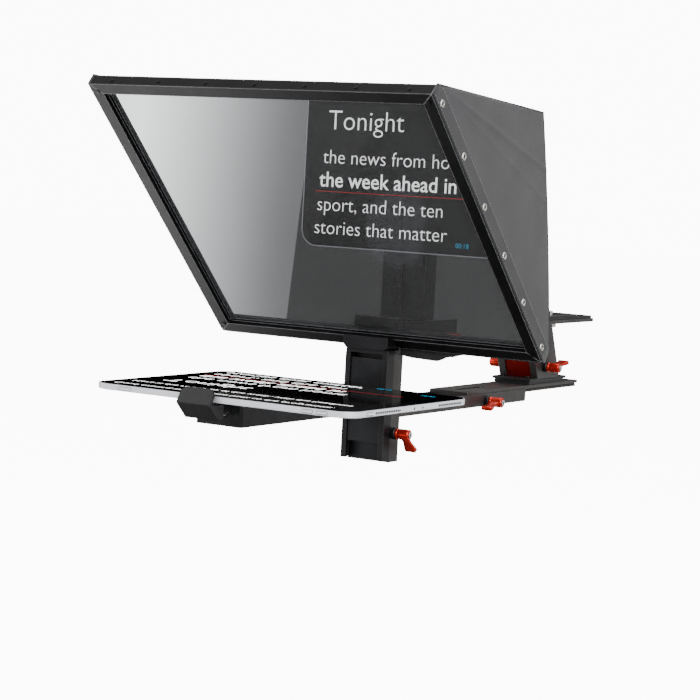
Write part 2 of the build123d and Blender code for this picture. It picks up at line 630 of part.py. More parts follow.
PLATFORM_SCREWS = [(0, 150), (0, 182)]
PLATFORM_SCREW_R, PLATFORM_HEAD_R, PLATFORM_SINK = 1.6, 3.0, 2.4
with BuildPart() as riser_core:
    with BuildSketch(Plane.YZ):
        with BuildLine():
            Polyline(*leaning_outline(RISER_BASE_FRONT + 2, RISER_D - 4, GAP, RISER_H + GAP), close=True)
        make_face()
    extrude(amount=INNER_W / 2 - 0.1, both=True)
    chamfer(riser_core.faces().sort_by(Axis.Y)[0].edges().filter_by(Axis.X, reverse=True), 0.8)
    with BuildSketch(Plane.YZ):
        with Locations(RISER_LEVER_AT):
            Circle(STUD_LEVER_R + RUN)
    extrude(amount=INNER_W, both=True, mode=Mode.SUBTRACT)
    # lightening pocket from behind
    with BuildSketch(Plane.YZ):
        with BuildLine():
            Polyline(*leaning_outline(RISER_BASE_FRONT + 32, RISER_D, 6, RISER_H - 6), close=True)
        make_face()
    extrude(amount=INNER_W / 2 - 5, both=True, mode=Mode.SUBTRACT)
    with BuildSketch(Plane.XY.offset(RISER_TOP + GAP)):
        with Locations(*PLATFORM_SCREWS):
            Circle(PLATFORM_SCREW_R + RUN)
    extrude(amount=-5.5, mode=Mode.SUBTRACT)
riser_core.part.label = "riser_core"
export_step(riser_core.part, "parts/riser_core.step")

PLATFORM_Z = RISER_TOP + GAP
with BuildPart() as camera_platform:
    with BuildSketch(Plane.XY.offset(PLATFORM_Z)):
        with Locations((0, (PLATFORM_FRONT + PLATFORM_BACK) / 2)):
            RectangleRounded(RISER_W, PLATFORM_BACK - PLATFORM_FRONT, 2.0)
        with Locations((0, CAMERA_SCREW_Y)):
            SlotCenterToCenter(2 * CAMERA_TRAVEL + 6, 7.4, rotation=90, mode=Mode.SUBTRACT)
        with Locations(*PLATFORM_SCREWS):
            Circle(PLATFORM_SCREW_R + RUN, mode=Mode.SUBTRACT)
    extrude(amount=PLATFORM_T)
    with BuildSketch(Plane.XY.offset(PLATFORM_Z + PLATFORM_T)):
        with Locations(*PLATFORM_SCREWS):
            Circle(PLATFORM_HEAD_R + 0.2)
    extrude(amount=-PLATFORM_SINK, mode=Mode.SUBTRACT)
camera_platform.part.label = "camera_platform"
export_step(camera_platform.part, "parts/camera_platform.step")

with BuildPart() as platform_screws:
    with BuildSketch(Plane.XY.offset(PLATFORM_Z + PLATFORM_T - PLATFORM_SINK)):
        with Locations(*PLATFORM_SCREWS):
            Circle(PLATFORM_HEAD_R)
            RegularPolygon(1.2, 6, mode=Mode.SUBTRACT)
    extrude(amount=2.0)
    with BuildSketch(Plane.XY.offset(PLATFORM_Z + PLATFORM_T - PLATFORM_SINK)):
        with Locations(*PLATFORM_SCREWS):
            Circle(PLATFORM_SCREW_R)
    extrude(amount=-6.0)
platform_screws.part.label = "platform_screws"
export_step(platform_screws.part, "parts/platform_screws.step")

CAMERA_PLATE_Z = PLATFORM_Z + PLATFORM_T + 0.2
CAMERA_PLATE_L = CAMERA_PLATE_BACK - CAMERA_PLATE_FRONT
with BuildPart() as camera_plate:
    with BuildSketch(Plane.XY.offset(CAMERA_PLATE_Z)):
        with Locations((0, CAMERA_PLATE_FRONT + CAMERA_PLATE_L / 2)):
            RectangleRounded(RISER_W - 2, CAMERA_PLATE_L, 2.0)
        with Locations((0, CAMERA_SCREW_Y)):
            Circle(CAMERA_SCREW_R + RUN, mode=Mode.SUBTRACT)
    extrude(amount=CAMERA_PLATE_T)
camera_plate.part.label = "camera_plate"
export_step(camera_plate.part, "parts/camera_plate.step")

with BuildPart() as camera_plate_pads:
    with BuildSketch(Plane.XY.offset(CAMERA_PLATE_Z + CAMERA_PLATE_T)):
        with Locations((-15, CAMERA_SCREW_Y), (15, CAMERA_SCREW_Y)):
            RectangleRounded(8, 100, 1.5)
    extrude(amount=0.8)
camera_plate_pads.part.label = "camera_plate_pads"
export_step(camera_plate_pads.part, "parts/camera_plate_pads.step")

SCREW_HEAD_Z = PLATFORM_Z - 0.2
with BuildPart() as camera_screw:
    with BuildSketch(Plane.XY.offset(SCREW_HEAD_Z - 6)):
        with Locations((0, CAMERA_SCREW_Y)):
            Circle(7.5)
    extrude(amount=6)
    chamfer(camera_screw.edges(), 0.6)
    with BuildSketch(Plane.XY.offset(SCREW_HEAD_Z)):
        with Locations((0, CAMERA_SCREW_Y)):
            Circle(CAMERA_NECK_R)
    extrude(amount=CAMERA_PLATE_Z + CAMERA_PLATE_T - SCREW_HEAD_Z)
    with BuildSketch(Plane.XY.offset(CAMERA_PLATE_Z + CAMERA_PLATE_T)):
        with Locations((0, CAMERA_SCREW_Y)):
            Circle(CAMERA_SCREW_R)
    extrude(amount=CAMERA_THREAD_L)
    chamfer(camera_screw.edges().group_by(Axis.Z)[-1], 0.5)
    with BuildSketch(Plane.XY.offset(SCREW_HEAD_Z - 6)):
        with Locations((0, CAMERA_SCREW_Y)):
            Rectangle(1.6, 15.5)
    extrude(amount=1.6, mode=Mode.SUBTRACT)
camera_screw.part.label = "camera_screw"
export_step(camera_screw.part, "parts/camera_screw.step")

# ================================================================ clamping levers
# name: side (+1 right), face x, axis y, axis z, direction of the wing, depth of the stud
LEVERS = {
    "base_lever": (1, RAIL_W / 2, *BASE_LEVER_AT, 193.0, 8.0),
    "column_lever": (1, COLUMN_W / 2, *COLUMN_LEVER_AT, -46.0, 6.5),
    "riser_lever_right": (1, RISER_W / 2, *RISER_LEVER_AT, 13.0, CHEEK_T + 6),
    "riser_lever_left": (-1, RISER_W / 2, *RISER_LEVER_AT, 13.0, CHEEK_T + 6),
}
for label, users in (
    ("lever_collars", ("base_lever", "column_lever")),
    ("riser_lever_collars", ("riser_lever_right", "riser_lever_left")),
):
    with BuildPart() as collars:
        for user in users:
            out, face, y, z = LEVERS[user][:4]
            with BuildSketch(Plane.YZ.offset(out * (face + 0.2))):
                with Locations((y, z)):
                    Circle(COLLAR_R)
                    Circle(STUD_LEVER_R + RUN, mode=Mode.SUBTRACT)
            extrude(amount=out * COLLAR_T)
        chamfer(collars.edges().filter_by(GeomType.CIRCLE).group_by(SortBy.RADIUS)[-1], 0.6)
    collars.part.label = label
    export_step(collars.part, f"parts/{label}.step")

for name, (out, face, y, z, angle, depth) in LEVERS.items():
    start = out * (face + 0.2)
    boss_start = start + out * (COLLAR_T + 0.1)
    boss_end = boss_start + out * BOSS_L
    tip = (y + WING_L * cos(radians(angle)), z + WING_L * sin(radians(angle)))
    middle = ((y + tip[0]) / 2, (z + tip[1]) / 2)
    with BuildPart() as wing:
        with BuildSketch(Plane.YZ.offset(boss_end - out * WING_W)):
            with Locations(middle):
                Rectangle(WING_L, WING_T, rotation=angle)
            with Locations(tip):
                Circle(WING_T / 2)
        extrude(amount=out * (WING_W - 0.6))
        with BuildSketch(Plane.YZ.offset(boss_start)):
            with Locations((y, z)):
                Circle(BOSS_R)
        extrude(amount=out * BOSS_L)
        with BuildSketch(Plane.YZ.offset(boss_start)):
            with Locations((y, z)):
                Circle(STUD_LEVER_R)
        extrude(amount=out * BOSS_L, mode=Mode.SUBTRACT)
        rim = wing.edges().filter_by(GeomType.CIRCLE).sort_by(Axis.X)
        chamfer(rim[-2:] if out > 0 else rim[:2], 0.4)
    wing.part.label = name
    export_step(wing.part, f"parts/{name}.step")

    with BuildPart() as screw:
        with BuildSketch(Plane.YZ.offset(start)):
            with Locations((y, z)):
                Circle(STUD_LEVER_R)
        extrude(amount=out * (COLLAR_T + 0.1 + BOSS_L))
        with BuildSketch(Plane.YZ.offset(start)):
            with Locations((y, z)):
                Circle(STUD_LEVER_R)
        extrude(amount=-out * depth)
        with BuildSketch(Plane.YZ.offset(boss_end)):
            with Locations((y, z)):
                Circle(CAP_R)
                RegularPolygon(1.3, 6, mode=Mode.SUBTRACT)
        extrude(amount=out * CAP_T)
    screw.part.label = f"{name}_screw"
    export_step(screw.part, f"parts/{name}_screw.step")

# ================================================================ tray
ARM_BACK = COLUMN_FRONT - 0.5
TRAY_BOLTS = [(x, z) for x in (-12.0, 12.0) for z in (14.5, 26.0)]
TRAY_BOLT_R, TRAY_BOLT_HEAD_R, ARM_REAR_WALL = 1.5, 2.6, 4.0
with BuildPart() as tray_slider:
    with BuildSketch(Plane.XY.offset(SLIDER_TOP - SLIDER_L)):
        with Locations((0, COLUMN_FRONT + 1.5 + (LIP_DEPTH - 1.4) / 2)):
            Rectangle(SLOT_MOUTH - 0.2, LIP_DEPTH - 1.4)
        with Locations((0, COLUMN_FRONT + LIP_DEPTH + SLOT_DEPTH / 2)):
            Rectangle(SLOT_W - 0.2, SLOT_DEPTH - 0.2)
    extrude(amount=SLIDER_L)
    with BuildSketch(Plane.XZ.offset(-(COLUMN_FRONT + 1.5))):
        with Locations((0, (ARM_TOP + ARM_BOTTOM) / 2)):
            Rectangle(SLOT_MOUTH - 1, ARM_TOP - ARM_BOTTOM - 2)
    extrude(amount=2.0)
    with BuildSketch(Plane.XZ.offset(-ARM_BACK)):
        with Locations(*TRAY_BOLTS):
            Circle(TRAY_BOLT_R)
    extrude(amount=-7, mode=Mode.SUBTRACT)
tray_slider.part.label = "tray_slider"
export_step(tray_slider.part, "parts/tray_slider.step")

STOP_FRONT = TABLET_FRONT + TABLET_D + 0.1
STOP_BOLT_Y = STOP_FRONT + STOP_D / 2
ARM_L, ARM_H = ARM_BACK - ARM_FRONT, ARM_TOP - ARM_BOTTOM
with BuildPart() as tray_arm:
    with BuildSketch(Plane.XY.offset(ARM_BOTTOM)):
        with Locations((0, ARM_FRONT + ARM_L / 2)):
            Rectangle(ARM_W, ARM_L)
    extrude(amount=ARM_H)
    fillet(tray_arm.edges().filter_by(Axis.Z).group_by(Axis.Y)[0], 2.5)
    with BuildSketch(Plane.XY.offset(ARM_BOTTOM + ARM_WALL)):
        with Locations((0, ARM_FRONT + ARM_L / 2)):
            Rectangle(ARM_W - 2 * ARM_WALL, ARM_L - 2 * ARM_REAR_WALL)
    extrude(amount=ARM_H - 2 * ARM_WALL, mode=Mode.SUBTRACT)
    # slot for the rear stop's bolt, through the top and the bottom
    with BuildSketch(Plane.XY.offset(ARM_BOTTOM)):
        with Locations((0, STOP_BOLT_Y + STOP_TRAVEL / 2)):
            SlotCenterToCenter(STOP_TRAVEL, 6.4, rotation=90)
    extrude(amount=ARM_H, mode=Mode.SUBTRACT)
    with BuildSketch(Plane.XZ.offset(-ARM_FRONT)):
        with Locations((-ROD_X, ROD_Z), (ROD_X, ROD_Z)):
            Circle(ROD_R + RUN)
    extrude(amount=-5, mode=Mode.SUBTRACT)
    with BuildSketch(Plane.XZ.offset(-ARM_BACK)):
        with Locations(*TRAY_BOLTS):
            Circle(TRAY_BOLT_R)
    extrude(amount=5, mode=Mode.SUBTRACT)
tray_arm.part.label = "tray_arm"
export_step(tray_arm.part, "parts/tray_arm.step")

with BuildPart() as tray_bolts:
    with BuildSketch(Plane.XZ.offset(-(ARM_BACK - ARM_REAR_WALL))):
        with Locations(*TRAY_BOLTS):
            Circle(TRAY_BOLT_HEAD_R)
    extrude(amount=2.5)
    with BuildSketch(Plane.XZ.offset(-(ARM_BACK - ARM_REAR_WALL))):
        with Locations(*TRAY_BOLTS):
            Circle(TRAY_BOLT_R)
    extrude(amount=-9.0)
tray_bolts.part.label = "tray_bolts"
export_step(tray_bolts.part, "parts/tray_bolts.step")

with BuildPart() as tray_pads:
    with BuildSketch(Plane.XY.offset(ARM_TOP)):
        with Locations((-16, ARM_FRONT + 85), (16, ARM_FRONT + 85)):
            RectangleRounded(12, 150, 3)
    extrude(amount=PAD_T - 0.1)
tray_pads.part.label = "tray_pads"
export_step(tray_pads.part, "parts/tray_pads.step")

# ---------------------------------------------------------------- sprung front clip
TIP_IN = (LIP_TIP[0] + 0.85 * CLIP_T, LIP_TIP[1] - 0.53 * CLIP_T)
NOSE_IN = (NOSE[0] + 3.6, NOSE[1] - 0.6)
with BuildPart() as clip_jaw:
    with BuildSketch(Plane.YZ):
        with BuildLine():
            Polyline(
                NOSE,
                LIP_TIP,
                TIP_IN,
                NOSE_IN,
                (TABLET_FRONT - 0.6, 30.0),
                (ARM_FRONT - 18, 30.0),
                (ARM_FRONT - 18, CHIN[1]),
                CHIN,
                close=True,
            )
        make_face()
    extrude(amount=CLIP_W / 2, both=True)
    corners = clip_jaw.edges().filter_by(lambda e: e.length < CLIP_T + 0.1).group_by(Axis.Z)[-1]
    fillet(corners, 7.0)
    fillet(clip_jaw.edges().filter_by(Axis.X).sort_by(Axis.Y)[0], 1.2)
    with BuildSketch(Plane.XZ.offset(-(ARM_FRONT - 18))):
        with Locations((-ROD_X, ROD_Z), (ROD_X, ROD_Z)):
            Circle(ROD_R)
    extrude(amount=8, mode=Mode.SUBTRACT)
clip_jaw.part.label = "clip_jaw"
export_step(clip_jaw.part, "parts/clip_jaw.step")

with BuildPart() as clip_pad:
    with BuildSketch(Plane.XZ.offset(-(TABLET_FRONT - 0.6))):
        with Locations((0, 32.6)):
            Rectangle(CLIP_W - 6, 4.6)
    extrude(amount=-0.4)
clip_pad.part.label = "clip_pad"
export_step(clip_pad.part, "parts/clip_pad.step")

SPRING_L, SPRING_R, SPRING_BORE_R = 40.0, 4.2, 3.2
with BuildPart() as clip_rods:
    with BuildSketch(Plane.XZ.offset(-(ARM_FRONT - 25))):
        with Locations((-ROD_X, ROD_Z), (ROD_X, ROD_Z)):
            Circle(ROD_R)
    extrude(amount=-(25 + 4 + SPRING_L + 2))
    # collars that hold the springs' far ends
    with BuildSketch(Plane.XZ.offset(-(ARM_FRONT + 4 + SPRING_L + 0.2))):
        with Locations((-ROD_X, ROD_Z), (ROD_X, ROD_Z)):
            Circle(4.6)
    extrude(amount=-2.0)
clip_rods.part.label = "clip_rods"
export_step(clip_rods.part, "parts/clip_rods.step")

# two compression springs between the arm's front wall and the rods' collars, as plain sleeves
with BuildPart() as clip_springs:
    with BuildSketch(Plane.XZ.offset(-(ARM_FRONT + 4.2))):
        with Locations((-ROD_X, ROD_Z), (ROD_X, ROD_Z)):
            Circle(SPRING_R)
            Circle(SPRING_BORE_R, mode=Mode.SUBTRACT)
    extrude(amount=-(SPRING_L - 0.4))
clip_springs.part.label = "clip_springs"
export_step(clip_springs.part, "parts/clip_springs.step")

# ---------------------------------------------------------------- rear stop
STOP_STUD_R, KNOB_R, KNOB_T, KNOB_FLUTES, FLUTE_R = 2.0, 9.0, 3.5, 12, 1.2
with BuildPart() as rear_stop:
    with BuildSketch(Plane.XY.offset(ARM_TOP + 0.1)):
        with Locations((0, STOP_BOLT_Y)):
            RectangleRounded(STOP_W, STOP_D, 2.0)
    extrude(amount=STOP_H)
    fillet(rear_stop.edges().group_by(Axis.Z)[-1], 0.8)
    with BuildSketch(Plane.XY.offset(ARM_TOP + 0.1)):
        with Locations((0, STOP_BOLT_Y)):
            Circle(STOP_STUD_R)
    extrude(amount=STOP_H - 1.5, mode=Mode.SUBTRACT)
    with BuildSketch(Plane.XY.offset(ARM_TOP - 1.9)):
        with Locations((0, STOP_BOLT_Y)):
            Circle(STOP_STUD_R + 1)
            Circle(STOP_STUD_R, mode=Mode.SUBTRACT)
    extrude(amount=2.1)
rear_stop.part.label = "rear_stop"
export_step(rear_stop.part, "parts/rear_stop.step")

with BuildPart() as rear_stop_knob:
    with BuildSketch(Plane.XY.offset(ARM_BOTTOM - 0.2)):
        with Locations((0, STOP_BOLT_Y)):
            Circle(KNOB_R)
    extrude(amount=-KNOB_T)
    chamfer(rear_stop_knob.edges(), 0.8)
    with BuildSketch(Plane.XY.offset(ARM_BOTTOM - 0.2 - KNOB_T)):
        with Locations((0, STOP_BOLT_Y)):
            with PolarLocations(KNOB_R + FLUTE_R / 2, KNOB_FLUTES):
                Circle(FLUTE_R)
    extrude(amount=KNOB_T, mode=Mode.SUBTRACT)
    with BuildSketch(Plane.XY.offset(ARM_BOTTOM - 0.2)):
        with Locations((0, STOP_BOLT_Y)):
            Circle(STOP_STUD_R - RUN)
    extrude(amount=ARM_TOP - ARM_BOTTOM + 3.5)
rear_stop_knob.part.label = "rear_stop_knob"
export_step(rear_stop_knob.part, "parts/rear_stop_knob.step")

# ================================================================ tablet
TABLET_Y = TABLET_FRONT + TABLET_D / 2
TABLET_BOTTOM = TABLET_TOP - TABLET_T
TABLET_RIGHT = TABLET_X + TABLET_W / 2
POWER_Y = TABLET_FRONT + 32.0
VOLUME_X = (TABLET_RIGHT - 44.0, TABLET_RIGHT - 29.0)
BUTTON_L, BUTTON_H, BUTTON_OUT, BUTTON_IN = 11.0, 2.4, 0.4, 1.0
BUTTON_Z = TABLET_BOTTOM + TABLET_T / 2 - 0.2
with BuildPart() as tablet_shell:
    with BuildSketch(Plane.XY.offset(TABLET_BOTTOM)):
        with Locations((TABLET_X, TABLET_Y)):
            RectangleRounded(TABLET_W, TABLET_D, TABLET_R)
    extrude(amount=TABLET_T - 0.2)
    fillet(tablet_shell.edges().group_by(Axis.Z)[0], 1.2)
    with BuildSketch(Plane.XY.offset(TABLET_BOTTOM + 1.2)):
        with Locations((TABLET_X, TABLET_Y)):
            RectangleRounded(TABLET_W - 8, TABLET_D - 8, TABLET_R - 4)
    extrude(amount=3.4, mode=Mode.SUBTRACT)
    with BuildSketch(Plane.XY.offset(TABLET_TOP - 1.0)):
        with Locations((TABLET_X, TABLET_Y)):
            RectangleRounded(TABLET_W - 2.4, TABLET_D - 2.4, TABLET_R - 1.2)
    extrude(amount=2, mode=Mode.SUBTRACT)
    with BuildSketch(Plane.YZ.offset(TABLET_RIGHT - BUTTON_IN - 0.5)):
        with Locations((POWER_Y, BUTTON_Z)):
            SlotOverall(BUTTON_L + 0.2, BUTTON_H + 0.2)
    extrude(amount=5, mode=Mode.SUBTRACT)
    with BuildSketch(Plane.XZ.offset(-(TABLET_FRONT + BUTTON_IN + 0.5))):
        with Locations(*[(x, BUTTON_Z) for x in VOLUME_X]):
            SlotOverall(BUTTON_L + 0.2, BUTTON_H + 0.2)
    extrude(amount=5, mode=Mode.SUBTRACT)
tablet_shell.part.label = "tablet_shell"
export_step(tablet_shell.part, "parts/tablet_shell.step")

with BuildPart() as tablet_screen:
    with BuildSketch(Plane.XY.offset(TABLET_TOP - 0.95)):
        with Locations((TABLET_X, TABLET_Y)):
            RectangleRounded(TABLET_W - 2.6, TABLET_D - 2.6, TABLET_R - 1.3)
    extrude(amount=0.95)
tablet_screen.part.label = "tablet_screen"
export_step(tablet_screen.part, "parts/tablet_screen.step")

with BuildPart() as power_button:
    with BuildSketch(Plane.YZ.offset(TABLET_RIGHT - BUTTON_IN)):
        with Locations((POWER_Y, BUTTON_Z)):
            SlotOverall(BUTTON_L, BUTTON_H)
    extrude(amount=BUTTON_IN + BUTTON_OUT)
power_button.part.label = "power_button"
export_step(power_button.part, "parts/power_button.step")

for label, x in zip(("volume_up_button", "volume_down_button"), VOLUME_X):
    with BuildPart() as button:
        with BuildSketch(Plane.XZ.offset(-(TABLET_FRONT + BUTTON_IN))):
            with Locations((x, BUTTON_Z)):
                SlotOverall(BUTTON_L, BUTTON_H)
        extrude(amount=BUTTON_IN + BUTTON_OUT)
    button.part.label = label
    export_step(button.part, f"parts/{label}.step")
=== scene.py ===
# %% [markdown]
# # A camera teleprompter
# A pane of coated glass stands at 45 degrees in a black frame. A tablet lies on a tray in front of it
# and shows its script upside down, so that the glass mirrors it the right way up. The camera looks
# through the glass from inside a cloth hood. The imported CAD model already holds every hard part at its
# true size, so this lesson adds the finishes, the cloth, the script and the small details.

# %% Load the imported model
from math import atan2, cos, exp, pi, radians, sin

import bmesh
import bpy
from mathutils import Matrix, Vector


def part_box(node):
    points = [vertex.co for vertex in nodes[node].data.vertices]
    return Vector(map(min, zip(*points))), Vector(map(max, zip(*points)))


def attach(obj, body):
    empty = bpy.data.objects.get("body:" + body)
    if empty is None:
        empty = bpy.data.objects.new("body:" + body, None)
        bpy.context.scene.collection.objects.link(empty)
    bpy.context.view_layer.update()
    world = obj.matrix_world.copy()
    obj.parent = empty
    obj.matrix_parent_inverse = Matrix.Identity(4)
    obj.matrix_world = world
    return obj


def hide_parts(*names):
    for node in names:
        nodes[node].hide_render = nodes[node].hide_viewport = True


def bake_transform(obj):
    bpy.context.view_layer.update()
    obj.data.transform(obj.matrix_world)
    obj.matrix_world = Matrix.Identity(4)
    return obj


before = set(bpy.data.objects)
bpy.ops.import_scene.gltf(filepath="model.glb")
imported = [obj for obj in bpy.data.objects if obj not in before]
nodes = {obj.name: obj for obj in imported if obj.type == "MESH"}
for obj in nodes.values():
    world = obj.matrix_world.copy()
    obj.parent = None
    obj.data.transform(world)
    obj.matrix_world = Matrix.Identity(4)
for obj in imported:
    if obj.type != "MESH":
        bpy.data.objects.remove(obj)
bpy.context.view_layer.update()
MM = 0.001  # one millimetre, in the scene's metres

# %% [markdown]
# ## Helpers for materials
# Colours are written as the hex values that a paint chart gives, and one function turns them into the
# linear numbers that the shader wants. One small function adds a shader node with its settings and
# links. Patterns are measured in millimetres, because each piece keeps its real place in its mesh.


# %% Colour, node and material helpers
def linear(code):
    """The linear colour of an sRGB hex value such as 1a1b1c."""
    parts = [int(code[i : i + 2], 16) / 255 for i in (0, 2, 4)]
    return [c / 12.92 if c <= 0.04045 else ((c + 0.055) / 1.055) ** 2.4 for c in parts] + [1.0]


def add(tree, kind, inputs=None, **settings):
    """Adds a shader node. settings are its properties; an input is a value or another node's socket."""
    item = tree.nodes.new("ShaderNode" + kind)
    for key, value in settings.items():
        setattr(item, key, value)
    for key, value in (inputs or {}).items():
        if isinstance(value, bpy.types.NodeSocket):
            tree.links.new(value, item.inputs[key])
        else:
            item.inputs[key].default_value = value
    return item


def begin(name, code, metallic=0.0, roughness=0.5, **more):
    """A material with one Principled shader. Returns it, its tree, the shader and object coordinates."""
    material = bpy.data.materials.new(name)
    material.use_nodes = True
    tree = material.node_tree
    shader = tree.nodes["Principled BSDF"]
    values = {"Base Color": linear(code), "Metallic": metallic, "Roughness": roughness, **more}
    for key, value in values.items():
        shader.inputs[key].default_value = value
    place = add(tree, "TexCoord").outputs["Object"]
    return material, tree, shader, place


def vary_colour(tree, shader, place, size, dark, light):
    """Lets the base colour drift between two tones over patches of a size in metres."""
    noise = add(tree, "TexNoise", {"Vector": place, "Scale": 1 / size, "Detail": 3.0})
    ramp = add(tree, "ValToRGB", {"Fac": noise.outputs["Fac"]})
    ramp.color_ramp.elements[0].position, ramp.color_ramp.elements[1].position = 0.35, 0.65
    ramp.color_ramp.elements[0].color, ramp.color_ramp.elements[1].color = linear(dark), linear(light)
    tree.links.new(ramp.outputs["Color"], shader.inputs["Base Color"])


def vary_roughness(tree, shader, place, size, low, high):
    """Lets the roughness drift between two values over patches of a size in metres."""
    noise = add(tree, "TexNoise", {"Vector": place, "Scale": 1 / size, "Detail": 2.0})
    spread = add(tree, "MapRange", {"Value": noise.outputs["Fac"], "To Min": low, "To Max": high})
    tree.links.new(spread.outputs["Result"], shader.inputs["Roughness"])


def relief(tree, shader, height, depth, edge=0.0):
    """Bumps the surface by a height socket. edge rounds the piece's sharp edges by that radius."""
    bump = add(tree, "Bump", {"Height": height, "Distance": depth, "Strength": 1.0})
    if edge:
        rounded = add(tree, "Bevel", {"Radius": edge}, samples=4)
        tree.links.new(rounded.outputs["Normal"], bump.inputs["Normal"])
    tree.links.new(bump.outputs["Normal"], shader.inputs["Normal"])


def grain(tree, place, size):
    """The height of a blasted or moulded grain, its grit size in metres."""
    return add(tree, "TexNoise", {"Vector": place, "Scale": 1 / size, "Detail": 2.0}).outputs["Fac"]


# %% [markdown]
# ## Anodised aluminium
# Rails, plates, column and frame are extruded or milled aluminium, blasted with fine beads and then
# anodised black. The dye lies in a hard clear oxide, so the eye sees a dark satin metal whose machined
# edges catch the light. A metallic base with a fairly rough, slightly patchy gloss gives the satin, and a
# paler tone along the sharp edges is a painted highlight for their catch of light. Bead marks are 0.1 to
# 0.2 mm, drawn here at 0.9 mm so that they show at all.


# %% Black and red anodised aluminium
TONE_PATCH, GLOSS_PATCH = 35 * MM, 12 * MM
BEAD, BEAD_DEPTH = 0.9 * MM, 0.012 * MM
# the paler tone along the edges is a painted highlight; these say where it begins and where it is full
HIGHLIGHT_STARTS, HIGHLIGHT_FULL = 0.97, 0.75  # how far the rounded normal still agrees with the true one


def paint_edge_highlight(tree, shader, radius, code):
    """Paints a highlight: mixes a paler tone into the base colour along sharp edges, over a radius in
    metres.
    """
    base = shader.inputs["Base Color"].links[0].from_socket
    rounded = add(tree, "Bevel", {"Radius": radius}, samples=4)
    true_normal = add(tree, "NewGeometry").outputs["True Normal"]
    match = add(tree, "VectorMath", {0: rounded.outputs["Normal"], 1: true_normal}, operation="DOT_PRODUCT")
    edge_highlight = add(
        tree,
        "MapRange",
        {"Value": match.outputs["Value"], "From Min": HIGHLIGHT_STARTS, "From Max": HIGHLIGHT_FULL},
    )
    pale = add(tree, "Mix", {0: edge_highlight.outputs["Result"], 6: base, 7: linear(code)}, data_type="RGBA")
    tree.links.new(pale.outputs[2], shader.inputs["Base Color"])


def anodised(name, code, dark, light, low, high, edge_highlight, edge=0.8 * MM):
    """Dyed anodised aluminium: a patchy dark satin with rounded edges and a painted highlight along them.
    """
    material, tree, shader, place = begin(name, code, metallic=0.75)
    vary_colour(tree, shader, place, TONE_PATCH, dark, light)
    paint_edge_highlight(tree, shader, edge, edge_highlight)
    vary_roughness(tree, shader, place, GLOSS_PATCH, low, high)
    relief(tree, shader, grain(tree, place, BEAD), BEAD_DEPTH, edge=0.7 * MM)
    return material


# the last colour of each finish is its painted edge highlight
black_anodised = anodised("black_anodised_aluminium", "202022", "1d1d1f", "272729", 0.34, 0.46, "4a4a4c")
# the frame is dyed deepest, under a matt seal that mirrors little
frame_anodised = anodised(
    "frame_black_anodised_aluminium", "0e0e0f", "0b0b0c", "121213", 0.36, 0.48, "8e8f93", edge=1.3 * MM
)
frame_shader = frame_anodised.node_tree.nodes["Principled BSDF"]
frame_shader.inputs["Metallic"].default_value = 0.3
frame_shader.inputs["Specular IOR Level"].default_value = 0.15
plate_anodised = anodised(
    "plate_grey_anodised_aluminium", "42403f", "3c3a39", "494746", 0.38, 0.50, "6a6866"
)
# a brighter, smoother dye: the lever's turned faces are nearly polished before the red bath
red_anodised = anodised("red_anodised_aluminium", "b8200f", "ae1c0d", "c22613", 0.20, 0.30, "d8553f")
core_anodised = anodised("deep_red_anodised_aluminium", "7a0d07", "720b06", "851008", 0.30, 0.40, "c03a22")
print("anodised finishes:", 5)

# %% [markdown]
# ## Steel, rubber and plastic
# Screws and studs are bright turned steel or black oxide steel: both are metals, and turning leaves
# rings 0.2 mm apart, which are drawn as fine noise because each screw's axis differs. Gasket, strips
# and pads are black rubber, the column's end cap and the knob are moulded plastic with a spark grain.


# %% Steel, rubber and plastic
def plain_finish(name, code, metallic, low, high, grit, depth, edge):
    """A finish of one colour with a patchy gloss and a grain."""
    material, tree, shader, place = begin(name, code, metallic=metallic)
    vary_roughness(tree, shader, place, 6 * MM, low, high)
    relief(tree, shader, grain(tree, place, grit), depth, edge=edge)
    return material


bright_steel = plain_finish("bright_turned_steel", "d2d0cb", 1.0, 0.18, 0.32, 0.6 * MM, 0.01 * MM, 0.3 * MM)
black_oxide = plain_finish("black_oxide_steel", "2b2a2a", 1.0, 0.35, 0.5, 0.5 * MM, 0.01 * MM, 0.3 * MM)
snap_steel = plain_finish("nickel_plated_snap", "cfccc6", 1.0, 0.15, 0.25, 1.0 * MM, 0.01 * MM, 0.4 * MM)
spring_steel = plain_finish("spring_steel_wire", "a9a7a2", 1.0, 0.25, 0.4, 0.4 * MM, 0.005 * MM, 0.0)
rubber = plain_finish("black_rubber", "1b1b1b", 0.0, 0.7, 0.85, 0.8 * MM, 0.04 * MM, 0.4 * MM)
moulded_plastic = plain_finish("moulded_black_abs", "202020", 0.0, 0.45, 0.6, 0.7 * MM, 0.04 * MM, 0.5 * MM)
clip_finish = plain_finish("powder_coated_clip", "161617", 0.0, 0.42, 0.54, 0.8 * MM, 0.03 * MM, 0.8 * MM)
clip_finish.node_tree.nodes["Principled BSDF"].inputs["Specular IOR Level"].default_value = 0.3
print("other hard finishes:", 7)

# %% [markdown]
# ## The tablet's finishes
# The shell is silver anodised aluminium blasted with very fine beads, which looks almost like pale
# satin paint. The front is one sheet of polished cover glass over a dark display: black, with a gloss
# that mirrors the room. A display in use is lit from within, and the script's letters give off light.

# %% Tablet finishes
tablet_silver = plain_finish(
    "silver_blasted_aluminium", "eef0f8", 0.55, 0.34, 0.42, 0.8 * MM, 0.008 * MM, 0.8 * MM
)
cover_glass, tree, shader, place = begin("polished_cover_glass", "020203", roughness=0.06)
vary_roughness(tree, shader, place, 60 * MM, 0.04, 0.09)


def lit(name, code, strength):
    """A letter or mark of the display: it gives off light evenly, so nothing varies over it."""
    material, _, shader, _ = begin(name, code, roughness=0.3)
    shader.inputs["Emission Color"].default_value = linear(code)
    shader.inputs["Emission Strength"].default_value = strength
    return material


